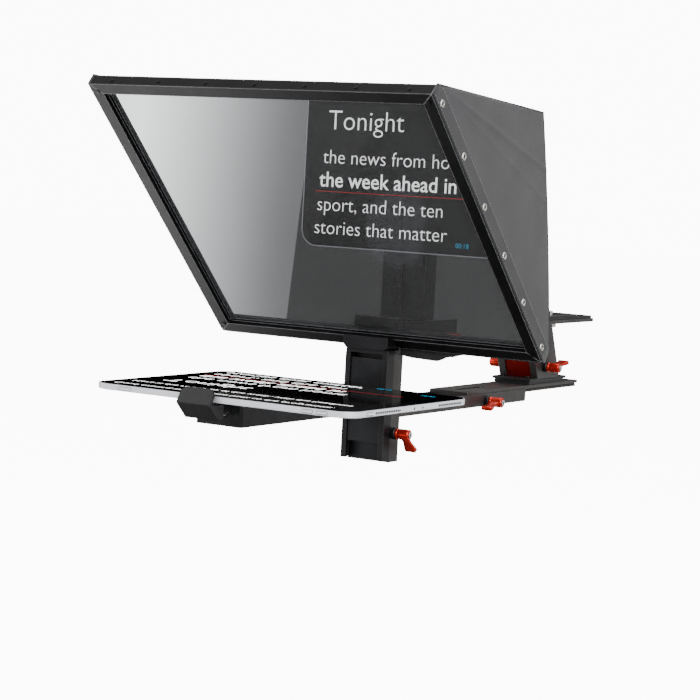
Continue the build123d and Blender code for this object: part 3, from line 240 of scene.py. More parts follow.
SCRIPT_LIGHT = 3.6  # the glass mirrors under a third, and the script is still to look white in it
LINE_LIGHT, CLOCK_LIGHT = 0.9, 1.5
script_white = lit("display_white", "f2f2f2", SCRIPT_LIGHT)
script_red = lit("display_red", "c81a14", LINE_LIGHT)
script_blue = lit("display_blue", "1d9dc4", CLOCK_LIGHT)

# %% [markdown]
# ## The beam splitter
# The pane is float glass with a thin mirror coating on the side that faces the reader. Light from the
# tablet bounces off the coating, and the camera behind sees through it. In front of a dark hood it
# looks like smoked glass with a clear reflection in it. The coating sits on one face only, so the
# mirror is mixed in where the face points forwards, which keeps out a second, ghost reflection.

# %% Coated glass
GLASS_MIRROR = 0.30  # share of the light that the coating reflects
GLASS_HAZE = 0.06  # share that its dust and haze scatter
COATED_SIDE = 0.5  # a face this far or further towards the reader carries the coating
TILT = radians(45)
coated_glass = bpy.data.materials.new("coated_beam_splitter_glass")
coated_glass.use_nodes = True
tree = coated_glass.node_tree
tree.nodes.remove(tree.nodes["Principled BSDF"])
clear = add(tree, "BsdfTransparent", {"Color": linear("464749")})
coords = add(tree, "TexCoord")
# a faint drift of the coating's tint, as on a wiped pane
wipe = add(tree, "TexNoise", {"Vector": coords.outputs["Object"], "Scale": 1 / (90 * MM), "Detail": 1.0})
tint = add(tree, "ValToRGB", {"Fac": wipe.outputs["Fac"]})
tint.color_ramp.elements[0].color, tint.color_ramp.elements[1].color = linear("eef0f2"), linear("f8fafc")
mirror = add(tree, "BsdfGlossy", {"Color": tint.outputs["Color"], "Roughness": 0.0})
facing = add(
    tree,
    "VectorMath",
    {0: coords.outputs["Normal"], 1: (0, -sin(TILT), -cos(TILT))},
    operation="DOT_PRODUCT",
)
front = add(tree, "Math", {0: facing.outputs["Value"], 1: COATED_SIDE}, operation="GREATER_THAN")
share = add(tree, "Math", {0: front.outputs["Value"], 1: GLASS_MIRROR}, operation="MULTIPLY")
haze = add(tree, "BsdfDiffuse", {"Color": linear("e8eaec")})
hazy = add(tree, "MixShader", {"Fac": GLASS_HAZE, 1: clear.outputs["BSDF"], 2: haze.outputs["BSDF"]})
pane = add(
    tree,
    "MixShader",
    {"Fac": share.outputs["Value"], 1: hazy.outputs["Shader"], 2: mirror.outputs["BSDF"]},
)
tree.links.new(pane.outputs["Shader"], tree.nodes["Material Output"].inputs["Surface"])
print("coated glass mirrors", GLASS_MIRROR)

# %% [markdown]
# ## Cloth
# The hood is a dark grey nylon with a stiff coating, bound with black woven tape. Nylon of this kind
# has about 20 threads to the centimetre. They are drawn 1.1 mm apart, which is coarser than real, so
# that the weave shows. The coating leaves a dull sheen, and the cloth is a little paler where it rubs.


# %% Woven cloth
WORN_PATCH, THREAD_DEPTH = 45 * MM, 0.05 * MM


def woven(name, dark, light, thread, roughness, sheen):
    """A plain weave: two sets of crossing threads, thread apart in metres, with a faint drift of tone, as
    of wear.
    """
    material, tree, shader, place = begin(name, dark, roughness=roughness)
    shader.inputs["Sheen Weight"].default_value = sheen
    shader.inputs["Sheen Roughness"].default_value = 0.5
    split = add(tree, "SeparateXYZ", {"Vector": place})
    waves = []
    for axes in (("X", "Z"), ("Y", "Z")):
        ridges = []
        for axis in axes:
            turns = {0: split.outputs[axis], 1: 2 * pi / thread}
            phase = add(tree, "Math", turns, operation="MULTIPLY").outputs["Value"]
            ridges.append(add(tree, "Math", {0: phase}, operation="SINE").outputs["Value"])
        waves.append(add(tree, "Math", {0: ridges[0], 1: ridges[1]}, operation="MULTIPLY").outputs["Value"])
    weave = add(tree, "Math", {0: waves[0], 1: waves[1]}, operation="ADD").outputs["Value"]
    vary_colour(tree, shader, place, WORN_PATCH, dark, light)
    relief(tree, shader, weave, THREAD_DEPTH)
    return material


hood_cloth = woven("coated_nylon_hood_cloth", "272729", "2e2e30", 1.1 * MM, 0.72, 0.12)
binding_tape = woven("woven_black_binding_tape", "161616", "1d1d1d", 0.9 * MM, 0.8, 0.05)
strip_tape = woven("woven_grey_edge_strip", "232325", "28282a", 0.9 * MM, 0.75, 0.08)
sewing_thread = plain_finish("polyester_sewing_thread", "6a6a6c", 0.0, 0.6, 0.7, 0.5 * MM, 0.02 * MM, 0.0)
print("cloths:", 3)

# %% [markdown]
# ## Finishes on the CAD nodes
# Each node keeps its mesh. Only the material in its slot changes, from a list of which finish each
# group of nodes has on the real object.

# %% Paint the CAD nodes
FINISHES = {
    black_anodised: ("column_front", "column_head", "tray_slider", "tray_arm", "frame_foot",
                     "lever_collars", "riser_lever_collars", "rear_stop", "camera_plate", "riser_flange"),
    frame_anodised: ("frame_bottom", "frame_top", "frame_left", "frame_right", "glass_retainer"),
    plate_anodised: ("base_rail", "column_rear", "slide_plate", "camera_platform", "riser_cheek_left",
                     "riser_cheek_right"),
    red_anodised: ("base_lever", "column_lever", "riser_lever_left", "riser_lever_right"),
    core_anodised: ("riser_core",),
    bright_steel: ("hinge_pin", "base_lever_screw", "column_lever_screw", "riser_lever_left_screw",
                   "riser_lever_right_screw", "camera_screw", "clip_rods", "frame_corner_keys"),
    snap_steel: ("hood_snaps",),
    spring_steel: ("clip_springs",),
    black_oxide: ("column_bolts", "frame_screws", "riser_bolts", "platform_screws", "tray_bolts"),
    rubber: ("glass_gasket", "tray_pads", "clip_pad", "camera_plate_pads"),
    moulded_plastic: ("column_end_cap", "rear_stop_knob"),
    clip_finish: ("clip_jaw",),
    coated_glass: ("beam_splitter_glass",),
    hood_cloth: ("hood_side_left", "hood_side_right", "hood_top", "hood_rear", "lens_sleeve"),
    binding_tape: ("hood_bottom_flap",),
    tablet_silver: ("tablet_shell", "power_button", "volume_up_button", "volume_down_button"),
    cover_glass: ("tablet_screen",),
}
for finish, names in FINISHES.items():
    for name in names:
        mesh = nodes[name].data
        mesh.materials.clear()
        mesh.materials.append(finish)
print("painted:", sum(len(names) for names in FINISHES.values()), "of", len(nodes))

# %% [markdown]
# ## Helpers for new pieces
# New pieces start from a primitive, as by hand. Everything is deselected first, because operators act
# on all that is selected. A finished piece has its place in its mesh and sits at the origin unturned,
# as the CAD nodes do, so that patterns on object coordinates stay put.


# %% Piece helpers
def clear_selection():
    """Leaves edit mode and deselects everything."""
    if bpy.context.mode != "OBJECT":
        bpy.ops.object.mode_set(mode="OBJECT")
    bpy.ops.object.select_all(action="DESELECT")


def pick(piece):
    """Selects one piece alone and makes it active."""
    clear_selection()
    piece.select_set(True)
    bpy.context.view_layer.objects.active = piece


def edit_all():
    """Enters edit mode with the whole mesh selected."""
    bpy.ops.object.mode_set(mode="EDIT")
    bpy.ops.mesh.select_all(action="SELECT")


def face_outwards():
    """Turns every face of the mesh in edit mode outwards, and leaves edit mode."""
    bpy.ops.mesh.select_all(action="SELECT")
    bpy.ops.mesh.normals_make_consistent(inside=False)
    bpy.ops.object.mode_set(mode="OBJECT")


def in_scene(name, data):
    """A new object in the scene for a mesh, a curve, a lamp or a camera."""
    piece = bpy.data.objects.new(name, data)
    bpy.context.scene.collection.objects.link(piece)
    return piece


def copy_at(model, place):
    """A copy of a piece with its own mesh, moved by a matrix."""
    piece = in_scene(model.name, model.data.copy())
    piece.data.transform(place)
    return piece


def settle(piece, name, material, body):
    """Names and paints a finished piece, moves its place into its mesh, and lets it ride on a body."""
    pick(piece)
    bpy.ops.object.transform_apply(location=True, rotation=True, scale=True)
    piece.name = piece.data.name = name
    piece.data.materials.clear()
    piece.data.materials.append(material)
    if body:
        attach(piece, body)
    return piece


def apply_modifiers(piece):
    """Makes all of a piece's modifiers part of its mesh."""
    pick(piece)
    for modifier in list(piece.modifiers):
        bpy.ops.object.modifier_apply(modifier=modifier.name)


def from_points(name, rows, closed=False, towards=None):
    """A sheet of quads through rows of points. closed joins each row's ends; its faces look towards."""
    mesh = bmesh.new()
    grid = [[mesh.verts.new(point) for point in row] for row in rows]
    for low, high in zip(grid, grid[1:]):
        count = len(low)
        for i in range(count if closed else count - 1):
            j = (i + 1) % count
            mesh.faces.new((low[i], low[j], high[j], high[i]))
    bmesh.ops.recalc_face_normals(mesh, faces=mesh.faces)
    if towards is not None:
        facing = sum((face.normal * face.calc_area() for face in mesh.faces), Vector())
        if facing.dot(towards) < 0:
            bmesh.ops.reverse_faces(mesh, faces=mesh.faces)
    data = bpy.data.meshes.new(name)
    mesh.to_mesh(data)
    mesh.free()
    data.shade_smooth()
    return in_scene(name, data)


def thicken(piece, thickness, offset):
    """Gives a sheet its thickness. offset 1 grows it along its normals, -1 against them, 0 both ways."""
    solid = piece.modifiers.new("thickness", "SOLIDIFY")
    solid.thickness, solid.offset = thickness, offset
    apply_modifiers(piece)


def blend_points(a, b, t):
    """The point or number at a share t of the way from a to b."""
    return a + (b - a) * t


# %% [markdown]
# ## Where the hood goes
# The glass frame gives the hood its front edge. Its lower front edge and the two directions up its
# slope and back from its face are read from the frame's lower bar, and its length from its box.

# %% Lines of the tilted frame and the hood
FRAME_DEPTH = 12 * MM
low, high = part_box("frame_bottom")
EDGE = Vector((0, high.y - FRAME_DEPTH * sin(TILT), low.z))
UP_SLOPE = Vector((0, -cos(TILT), sin(TILT)))
BACK = Vector((0, sin(TILT), cos(TILT)))
FRAME_LENGTH = (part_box("frame_top")[1].z - FRAME_DEPTH * cos(TILT) - EDGE.z) / sin(TILT)
panel_low, panel_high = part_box("hood_side_right")
PANEL_X, CLOTH = panel_low.x, panel_high.x - panel_low.x
# the curved rear edge, as in the CAD hood
REAR_TOP = Vector((0, -185, 308)) * MM
REAR_MID = Vector((0, -160.5, 196)) * MM
REAR_LOW = Vector((0, -143, 82.5)) * MM


def on_frame(slope, depth):
    """A point on the tilted frame, up its slope from the lower edge and back from its face."""
    return EDGE + UP_SLOPE * slope + BACK * depth


def rear_edge(t):
    """The hood's curved rear edge in the YZ plane, from its lower end at 0 to its top at 1."""
    pull = REAR_MID * 2 - (REAR_LOW + REAR_TOP) / 2
    return REAR_LOW * (1 - t) ** 2 + pull * 2 * t * (1 - t) + REAR_TOP * t**2


print("frame length", round(FRAME_LENGTH, 4), "panel at", round(PANEL_X, 4))

# %% [markdown]
# ## The hood's side panels
# Each side of the hood is one cut of cloth, snapped to the frame along its front edge and sewn to the
# rear and top panels. It is stiff enough to stay nearly flat, but folding for storage has left two
# soft creases that run back from the top front corner, and the cloth waves a little between its edges.
# A grid stretched between the front line and the curved rear edge gives the cut, and each point is
# then lifted outwards by the creases and waves.

# %% Side panels
# where the cloth begins: up the slope, and back from the frame's face
CLOTH_START, CLOTH_DEPTH = 1.5 * MM, 1.2 * MM
FRONT_LOW, FRONT_TOP = on_frame(CLOTH_START, CLOTH_DEPTH), on_frame(FRAME_LENGTH, CLOTH_DEPTH)
LOW_CORNER = EDGE + Vector((0, 5 * MM, -1 * MM))
TOP_CORNER = on_frame(FRAME_LENGTH + 1 * MM, FRAME_DEPTH)
LOW_SHARE, TOP_SHARE = 0.3, 0.05  # where each corner falls along the lower and the upper edge
CREASES = ((0.76, 0.8 * MM), (0.62, 0.35 * MM))  # where on the rear edge each ends, and its height
CREASE_WIDTH, WAVE = 2.2 * MM, 1.3 * MM
HELD = 18 * MM  # the strip along the frame that the snaps hold flat


def two_runs(start, corner, end, share, t):
    """A point along a bent line, its corner at a share of the way."""
    if t <= share:
        return blend_points(start, corner, t / share)
    return blend_points(corner, end, (t - share) / (1 - share))


def side_point(u, v):
    """A point of the flat side panel, u from front to rear and v from its lower to its upper edge."""
    across = blend_points(blend_points(FRONT_LOW, FRONT_TOP, v), rear_edge(v), u)
    low = two_runs(FRONT_LOW, LOW_CORNER, REAR_LOW, LOW_SHARE, u)
    top = two_runs(FRONT_TOP, TOP_CORNER, REAR_TOP, TOP_SHARE, u)
    straight_low, straight_top = blend_points(FRONT_LOW, REAR_LOW, u), blend_points(FRONT_TOP, REAR_TOP, u)
    return across + (low - straight_low) * (1 - v) + (top - straight_top) * v


def side_lift(point, u, v):
    """How far the cloth stands out from its flat cut: a slow wave and the creases."""
    lift = WAVE * (0.5 + 0.5 * sin(7 * v + 2 * u) * sin(4 * u + 1)) * sin(pi * u)
    for share, height in CREASES:
        end = rear_edge(share)
        line = (end - TOP_CORNER).normalized()
        away = (point - TOP_CORNER) - line * (point - TOP_CORNER).dot(line)
        lift += height * exp(-((away.length / CREASE_WIDTH) ** 2))
    depth = (point - EDGE).dot(BACK)
    return lift * min(1, max(0, (depth - HELD) / HELD))


def outline_area(points):
    """The area of a closed outline in the YZ plane."""
    pairs = zip(points, points[1:] + points[:1])
    return abs(sum(a.y * b.z - b.y * a.z for a, b in pairs)) / 2


ROWS, COLUMNS = 100, 100
steps = [i / 20 for i in range(20)]
outline = [side_point(0, t) for t in steps] + [side_point(t, 1) for t in steps]
outline += [side_point(1, 1 - t) for t in steps] + [side_point(1 - t, 0) for t in steps]
SIDE_AREA = outline_area(outline)
for side, name in ((-1, "hood_side_left"), (1, "hood_side_right")):
    rows = []
    for j in range(ROWS + 1):
        row = []
        for i in range(COLUMNS + 1):
            u, v = i / COLUMNS, j / ROWS
            flat = side_point(u, v)
            row.append(Vector((side * (PANEL_X + CLOTH + side_lift(flat, u, v)), flat.y, flat.z)))
        rows.append(row)
    panel = from_points("cloth_" + name, rows, towards=Vector((side, 0, 0)))
    thicken(panel, CLOTH, -1)
    settle(panel, "cloth_" + name, hood_cloth, "glass_frame")
    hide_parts(name)
print("side panel area", round(SIDE_AREA, 4))

# %% [markdown]
# ## Edge strip, stitches and piping
# A strip of stronger tape is sewn along the front of each side panel, and the snaps go through it.
# Two rows of stitches hold it, about four millimetres a stitch, which is a little longer than real so
# that they show. The rear and top edges are bound with thin round piping.


# %% Tape, thread and piping
def tube(name, points, radius, closed=False):
    """A round cord through points, made a mesh, its ends closed."""
    curve = bpy.data.curves.new(name, "CURVE")
    curve.dimensions = "3D"
    curve.bevel_depth, curve.bevel_resolution, curve.use_fill_caps = radius, 2, not closed
    spline = curve.splines.new("POLY")
    spline.points.add(len(points) - 1)
    for knot, point in zip(spline.points, points):
        knot.co = (*point, 1)
    spline.use_cyclic_u = closed
    pick(in_scene(name, curve))
    bpy.ops.object.convert(target="MESH")
    bpy.ops.object.shade_smooth()
    return bpy.context.object


def join(pieces, name):
    """Joins pieces into one object."""
    clear_selection()
    for piece in pieces:
        piece.select_set(True)
    bpy.context.view_layer.objects.active = pieces[0]
    bpy.ops.object.join()
    pieces[0].name = name
    return pieces[0]


TAPE_W, TAPE_T = 16 * MM, 0.35 * MM
TAPE_X = PANEL_X + CLOTH + 0.05 * MM
TAPE_STOP = 0.5 * MM  # how far below the frame's top the tape ends
CORNER_CUT, CUT_SLOPE = 11.5 * MM, 1.05  # behind this depth its end is cut back, for the panel's corner
STITCH_L, STITCH_PITCH, STITCH_START, THREAD_R = 2.6 * MM, 4 * MM, 3 * MM, 0.3 * MM
STITCH_DEPTHS = (2.6 * MM, 15.8 * MM)  # the two rows, back from the frame's face
PIPING_R = 0.9 * MM


def tape_end(depth):
    """How far up the slope the tape runs at a depth behind the frame's face."""
    return FRAME_LENGTH - TAPE_STOP - max(0, depth - CORNER_CUT) * CUT_SLOPE


def stitch_row(name, points, across):
    """Short rounded stitches lying along a line of points, raised along across."""
    mesh = bmesh.new()
    for a, b in zip(points, points[1:]):
        along = (b - a).normalized()
        turn = Matrix((along, across, along.cross(across))).transposed().to_4x4()
        shape = Matrix.Diagonal((STITCH_L / 2, THREAD_R, THREAD_R, 1))
        place = Matrix.Translation((a + b) / 2) @ turn @ shape
        bmesh.ops.create_icosphere(mesh, subdivisions=1, radius=1.0, matrix=place)
    data = bpy.data.meshes.new(name)
    mesh.to_mesh(data)
    mesh.free()
    data.shade_smooth()
    return in_scene(name, data)


for side, hand in ((-1, "left"), (1, "right")):
    out = Vector((side, 0, 0))
    depths = [CLOTH_DEPTH + TAPE_W * i / 8 for i in range(9)]
    rows = []
    for j in range(61):
        heights = [blend_points(CLOTH_START, tape_end(d), j / 60) for d in depths]
        rows.append([on_frame(h, d) + out * TAPE_X for h, d in zip(heights, depths)])
    tape = from_points("edge_tape", rows, towards=out)
    thicken(tape, TAPE_T, 1)
    tape = settle(tape, "hood_edge_tape_" + hand, strip_tape, "glass_frame")
    threads = []
    face = out * (TAPE_X + TAPE_T)
    for depth in STITCH_DEPTHS:
        count = int((tape_end(depth) - STITCH_START) / STITCH_PITCH)
        line = [on_frame(STITCH_START + STITCH_PITCH * k, depth) + face for k in range(count + 1)]
        threads.append(stitch_row("stitches", line, out))
    seam = join(threads, "stitches")
    settle(seam, "hood_tape_stitches_" + hand, sewing_thread, "glass_frame")
    edge_x = out * (PANEL_X + CLOTH / 2)
    bound = [blend_points(TOP_CORNER, REAR_TOP, i / 12) + edge_x for i in range(12)]
    bound += [rear_edge(1 - i / 40) + edge_x for i in range(41)]
    piping = tube("piping", bound, PIPING_R)
    settle(piping, "hood_piping_" + hand, binding_tape, "glass_frame")
print("tapes, stitches and piping on two sides")

# %% [markdown]
# ## Top, rear and lens sleeve
# The top panel sags slightly between its seams. The rear panel follows the sides' curve, and is gathered
# round the lens opening, so that it puckers there. A grid of rings round the opening lets the puckers
# run outwards. The sleeve is a tube of the same cloth that an elastic hem draws in round the lens.

# %% Top panel
HALF = PANEL_X - 0.4 * MM
HEM = on_frame(FRAME_LENGTH - 0.5 * MM, FRAME_DEPTH + 1.1 * MM)
SAG, BROAD = 3 * MM, 0.7  # how deep the cloth sags, and how flat the sag's middle is
LINES, POINTS = 30, 48
rows = []
for j in range(LINES + 1):
    v = j / LINES
    line = blend_points(HEM, REAR_TOP, v)
    row = []
    for i in range(POINTS + 1):
        drop = SAG * sin(pi * v) * sin(pi * i / POINTS) ** BROAD
        row.append(Vector((HALF * (2 * i / POINTS - 1), line.y, line.z - drop)))
    rows.append(row)
top_cloth = from_points("cloth_hood_top", rows, towards=Vector((0, 0, 1)))
thicken(top_cloth, CLOTH, -1)
settle(top_cloth, "cloth_hood_top", hood_cloth, "glass_frame")
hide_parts("hood_top")

# %% Rear panel
LENS_R = 60 * MM
LENS_Z = (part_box("lens_sleeve")[0].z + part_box("lens_sleeve")[1].z) / 2
REAR_BOTTOM, REAR_UP = REAR_LOW.z + 0.3 * MM, REAR_TOP.z - 1.6 * MM
GATHERS = 28  # folds round the opening
REAR_PUCKER, PUCKER_REACH = 1.1 * MM, 16 * MM  # height of the folds, and how far out they run
FLAT_BORDER = 6  # the folds fade over the last sixth of the way to the seams


def rear_y(z):
    """How far back the rear edge is at a height, found by halving."""
    low, high = 0.0, 1.0
    for _ in range(24):
        middle = (low + high) / 2
        low, high = (middle, high) if rear_edge(middle).z < z else (low, middle)
    return rear_edge(low).y - 0.2 * MM


def on_border(k, count):
    """Points round the rear panel's border, count to each of its four sides."""
    side, share = k // count, (k % count) / count
    corners = [(-HALF, REAR_BOTTOM), (HALF, REAR_BOTTOM), (HALF, REAR_UP), (-HALF, REAR_UP)]
    (x1, z1), (x2, z2) = corners[side], corners[(side + 1) % 4]
    return Vector((x1 + (x2 - x1) * share, 0, z1 + (z2 - z1) * share))


SPOKES, RINGS = 56, 26
middle = Vector((0, 0, LENS_Z))
rows = []
for r in range(RINGS + 1):
    share = (r / RINGS) ** 1.5
    ring = []
    for k in range(4 * SPOKES):
        border = on_border(k, SPOKES)
        spoke = (border - middle).normalized()
        point = blend_points(middle + spoke * (LENS_R + 0.2 * MM), border, share)
        angle = atan2(spoke.z, spoke.x)
        near = exp(-((point - middle).length - LENS_R) / PUCKER_REACH)
        pucker = REAR_PUCKER * near * sin(GATHERS * angle) * min(1, (1 - share) * FLAT_BORDER)
        ring.append(Vector((point.x, rear_y(point.z) + pucker, point.z)))
    rows.append(ring)
rear_cloth = from_points("cloth_hood_rear", rows, closed=True, towards=Vector((0, 1, 0)))
thicken(rear_cloth, CLOTH, -1)
settle(rear_cloth, "cloth_hood_rear", hood_cloth, "glass_frame")
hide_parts("hood_rear")

# %% Lens sleeve
SLEEVE_START, SLEEVE_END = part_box("lens_sleeve")[0].y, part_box("lens_sleeve")[1].y
SLEEVE_BEND = -147 * MM  # up to here the sleeve is straight, then it narrows
SLEEVE_R1, SLEEVE_R2 = LENS_R - 0.6 * MM, 44 * MM
SLEEVE_PUCKER, SLEEVE_RINGS, FOLD_STEPS = 1.6 * MM, 44, 10
HEM_INSET, HEM_FROM = 0.4 * MM, 40  # the last rings are drawn in by the elastic
HEM_R, CORD_R, HEM_STEPS = SLEEVE_R2 * 0.975, 1.3 * MM, 96
rows = []
for j in range(SLEEVE_RINGS + 1):
    y = blend_points(SLEEVE_START, SLEEVE_END, j / SLEEVE_RINGS)
    drawn = max(0, (y - SLEEVE_BEND) / (SLEEVE_END - SLEEVE_BEND))
    base = blend_points(SLEEVE_R1, SLEEVE_R2, drawn**0.85)
    height = SLEEVE_PUCKER * blend_points(0.15, 1, drawn)
    ring = []
    for k in range(GATHERS * FOLD_STEPS):
        angle = 2 * pi * k / (GATHERS * FOLD_STEPS)
        fold = height * (0.5 + 0.5 * sin(GATHERS * angle + 0.6 * sin(3 * angle)))
        radius = base - fold - (HEM_INSET if j > HEM_FROM else 0)
        ring.append(Vector((radius * cos(angle), y, LENS_Z + radius * sin(angle))))
    rows.append(ring)
sleeve = from_points("cloth_lens_sleeve", rows, closed=True)
thicken(sleeve, CLOTH, -1)
settle(sleeve, "cloth_lens_sleeve", hood_cloth, "glass_frame")
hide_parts("lens_sleeve")
round_lens = [2 * pi * k / HEM_STEPS for k in range(HEM_STEPS)]
hem_points = [Vector((HEM_R * cos(a), SLEEVE_END, LENS_Z + HEM_R * sin(a))) for a in round_lens]
hem = tube("sleeve_hem", hem_points, CORD_R, closed=True)
settle(hem, "lens_sleeve_elastic_hem", binding_tape, "glass_frame")
print("gathers:", GATHERS)

# %% [markdown]
# ## Loose strip under the frame
# The cloth ends in a loose strip behind the lower bar. On the left it is a narrow edge, and beside the
# column it hangs in a slack belly. Two hanging grids with a soft wave make it.

# %% Bottom strip
FLAP_Y = (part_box("hood_bottom_flap")[0].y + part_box("hood_bottom_flap")[1].y) / 2
FLAP_TOP, FLAP_T = 74.6 * MM, 0.9 * MM
STRIP_HEM = 70.0  # height of the tight hem, in mm
LEFT_STRIP, RIGHT_STRIP = (-185, -28), (27.5, 185)  # where each strip begins and ends, in mm
# x and z of the slack hem beside the column, in mm
HANG = ((27.5, 63.5), (45, 62.0), (68, 61.2), (84, 66.5), (100, STRIP_HEM), (185, STRIP_HEM))
SWING, SWING_STEP, SWING_DROP = 1.2 * MM, 9 * MM, 12 * MM  # the soft wave, growing with the drop


def hem_height(x):
    """The height of the hanging hem, eased between its marks."""
    for (x1, z1), (x2, z2) in zip(HANG, HANG[1:]):
        if x <= x2 * MM + 1e-9:
            t = (x / MM - x1) / (x2 - x1)
            return (z1 + (z2 - z1) * t * t * (3 - 2 * t)) * MM
    return HANG[-1][1] * MM


def hanging(ends, hem_at):
    """A loose strip between two ends in mm that hangs to the height hem_at gives."""
    x1, x2 = ends[0] * MM, ends[1] * MM
    rows = []
    for j in range(11):
        row = []
        for i in range(73):
            x = blend_points(x1, x2, i / 72)
            z = blend_points(FLAP_TOP, hem_at(x), j / 10)
            swing = SWING * sin(x / SWING_STEP) * (FLAP_TOP - z) / SWING_DROP
            row.append(Vector((x, FLAP_Y + swing, z)))
        rows.append(row)
    return from_points("flap", rows, towards=Vector((0, -1, 0)))


strips = [hanging(RIGHT_STRIP, hem_height), hanging(LEFT_STRIP, lambda x: STRIP_HEM * MM)]
flap = join(strips, "flap")
thicken(flap, FLAP_T, 0)
settle(flap, "cloth_bottom_flap", binding_tape, "glass_frame")
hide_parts("hood_bottom_flap")
marks = [(RIGHT_STRIP[0] + 2 * i) * MM for i in range(79)]
flap_area = sum((FLAP_TOP - hem_height(x)) * 2 * MM for x in marks)
flap_area += (LEFT_STRIP[1] - LEFT_STRIP[0]) * MM * (FLAP_TOP - STRIP_HEM * MM)
print("loose strip area", round(flap_area, 5))

# %% [markdown]
# ## Clamping levers
# Each red lever is a turned boss with a groove near its root and a wing that grows out of it. The wing
# is narrow where it leaves the boss and flares to a thick, rounded thumb pad. The boss is a filled
# circle that is extruded and resized along its axis, the wing a square face extruded through a few
# sections, and a boolean and a small bevel join them like one forging. One lever is modelled, and each
# axis gets a copy, mirrored on the left.


# %% Shapes by repeated extrusion
def turned(profile):
    """A solid of revolution on the X axis, from pairs of distance and radius."""
    clear_selection()
    start, radius = profile[0]
    bpy.ops.mesh.primitive_circle_add(
        vertices=48, radius=radius, fill_type="NGON", location=(start, 0, 0), rotation=(0, pi / 2, 0)
    )
    bpy.ops.object.transform_apply(location=True, rotation=True, scale=True)
    edit_all()
    for distance, size in profile[1:]:
        bpy.ops.mesh.extrude_region_move(TRANSFORM_OT_translate={"value": (distance - start, 0, 0)})
        bpy.ops.transform.resize(value=(1, size / radius, size / radius), center_override=(distance, 0, 0))
        start, radius = distance, size
    face_outwards()
    return bpy.context.object


def swept(sections):
    """A solid along the Y axis, from (distance, middle in X, half width, half thickness) sections."""
    clear_selection()
    start, middle, wide, thick = sections[0]
    bpy.ops.mesh.primitive_plane_add(size=2, location=(middle, start, 0), rotation=(pi / 2, 0, 0))
    bpy.context.object.scale = (wide, thick, 1)
    bpy.ops.object.transform_apply(location=True, rotation=True, scale=True)
    edit_all()
    for distance, centre, half, depth in sections[1:]:
        move = (centre - middle, distance - start, 0)
        grow = (half / wide, 1, depth / thick)
        bpy.ops.mesh.extrude_region_move(TRANSFORM_OT_translate={"value": move})
        bpy.ops.transform.resize(value=grow, center_override=(centre, distance, 0))
        start, middle, wide, thick = distance, centre, half, depth
    face_outwards()
    return bpy.context.object


# %% Levers
# distance along the axis and radius, in mm, with the groove between 2.2 and 3.7
BOSS_PROFILE = [
    (0, 4.9), (0.5, 5.4), (2.2, 5.4), (2.6, 4.9),
    (3.3, 4.9), (3.7, 5.4), (14.4, 5.4), (15.0, 4.8),
]
WING_SECTIONS = [  # in mm
    (2.0, 8.2, 4.6, 2.3),
    (6.2, 8.2, 4.3, 2.0),
    (9.5, 8.0, 3.9, 1.5),
    (13.5, 8.0, 4.4, 1.4),
    (18.0, 8.1, 5.5, 1.6),
    (21.5, 8.2, 6.0, 2.0),
    (24.0, 8.2, 6.1, 2.2),
    (24.8, 8.2, 5.6, 1.8),
]
LEVERS = {  # side, then the axis's y and z in mm and the wing's angle in degrees
    "base_lever": (1, 45.0, 5.5, 193),
    "column_lever": (1, -152.0, -15.0, -46),
    "riser_lever_right": (1, 180.0, 36.5, 13),
    "riser_lever_left": (-1, 180.0, 36.5, 13),
}
boss = turned([(a * MM, b * MM) for a, b in BOSS_PROFILE])
wing = swept([tuple(v * MM for v in section) for section in WING_SECTIONS])
union = boss.modifiers.new("union", "BOOLEAN")
union.operation, union.object, union.solver = "UNION", wing, "EXACT"
apply_modifiers(boss)
bpy.data.objects.remove(wing)
rounding = boss.modifiers.new("rounding", "BEVEL")
rounding.width, rounding.segments, rounding.limit_method = 0.35 * MM, 2, "ANGLE"
rounding.angle_limit, rounding.use_clamp_overlap = radians(38), True
apply_modifiers(boss)

for name, (side, y, z, angle) in LEVERS.items():
    low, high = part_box(name)
    start = low.x if side > 0 else high.x  # the boss starts where the CAD boss does
    place = Matrix.Translation((start, y * MM, z * MM)) @ Matrix.Diagonal((side, 1, 1, 1))
    forged = copy_at(boss, place @ Matrix.Rotation(radians(angle), 4, "X"))
    pick(forged)
    edit_all()
    face_outwards()
    bpy.ops.object.shade_smooth_by_angle(angle=radians(35))
    settle(forged, "forged_" + name, red_anodised, name)
    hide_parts(name)
    print(name, "faces:", len(forged.data.polygons), "starts at x", round(start, 4))
bpy.data.objects.remove(boss)

# %% [markdown]
# ## Snap fasteners
# Six snaps hold each side panel. What shows is a nickel plated cap with a rounded rim and a dark
# socket in its middle, where a black disc is painted shade for the socket's hollow. One cap is turned like
# the levers' bosses, and each place gets its own copy.

# %% Snaps
# distance along the axis and radius, in mm
CAP_PROFILE = [(0, 3.7), (0.55, 3.7), (1.0, 3.4), (1.3, 2.8), (1.3, 2.0), (0.75, 1.75)]
SOCKET_PROFILE = [(0.5, 1.7), (0.8, 1.7)]
SNAPS, SNAP_DEPTH, SNAP_START, SNAP_PITCH = 6, 7 * MM, 14 * MM, 62 * MM


def fasteners(profile, name, material):
    """Copies of one turned shape at every snap of both side panels, joined."""
    model = turned([(a * MM, b * MM) for a, b in profile])
    copies = []
    for side in (-1, 1):
        spin = Matrix.Rotation(0 if side > 0 else pi, 4, "Z")
        for k in range(SNAPS):
            spot = on_frame(SNAP_START + SNAP_PITCH * k, SNAP_DEPTH)
            place = Matrix.Translation((side * (PANEL_X + CLOTH), spot.y, spot.z))
            copies.append(copy_at(model, place @ spin))
    bpy.data.objects.remove(model)
    whole = join(copies, name)
    bpy.ops.object.shade_smooth_by_angle(angle=radians(40))
    return settle(whole, name, material, "glass_frame")


caps = fasteners(CAP_PROFILE, "snap_caps", snap_steel)
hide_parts("hood_snaps")
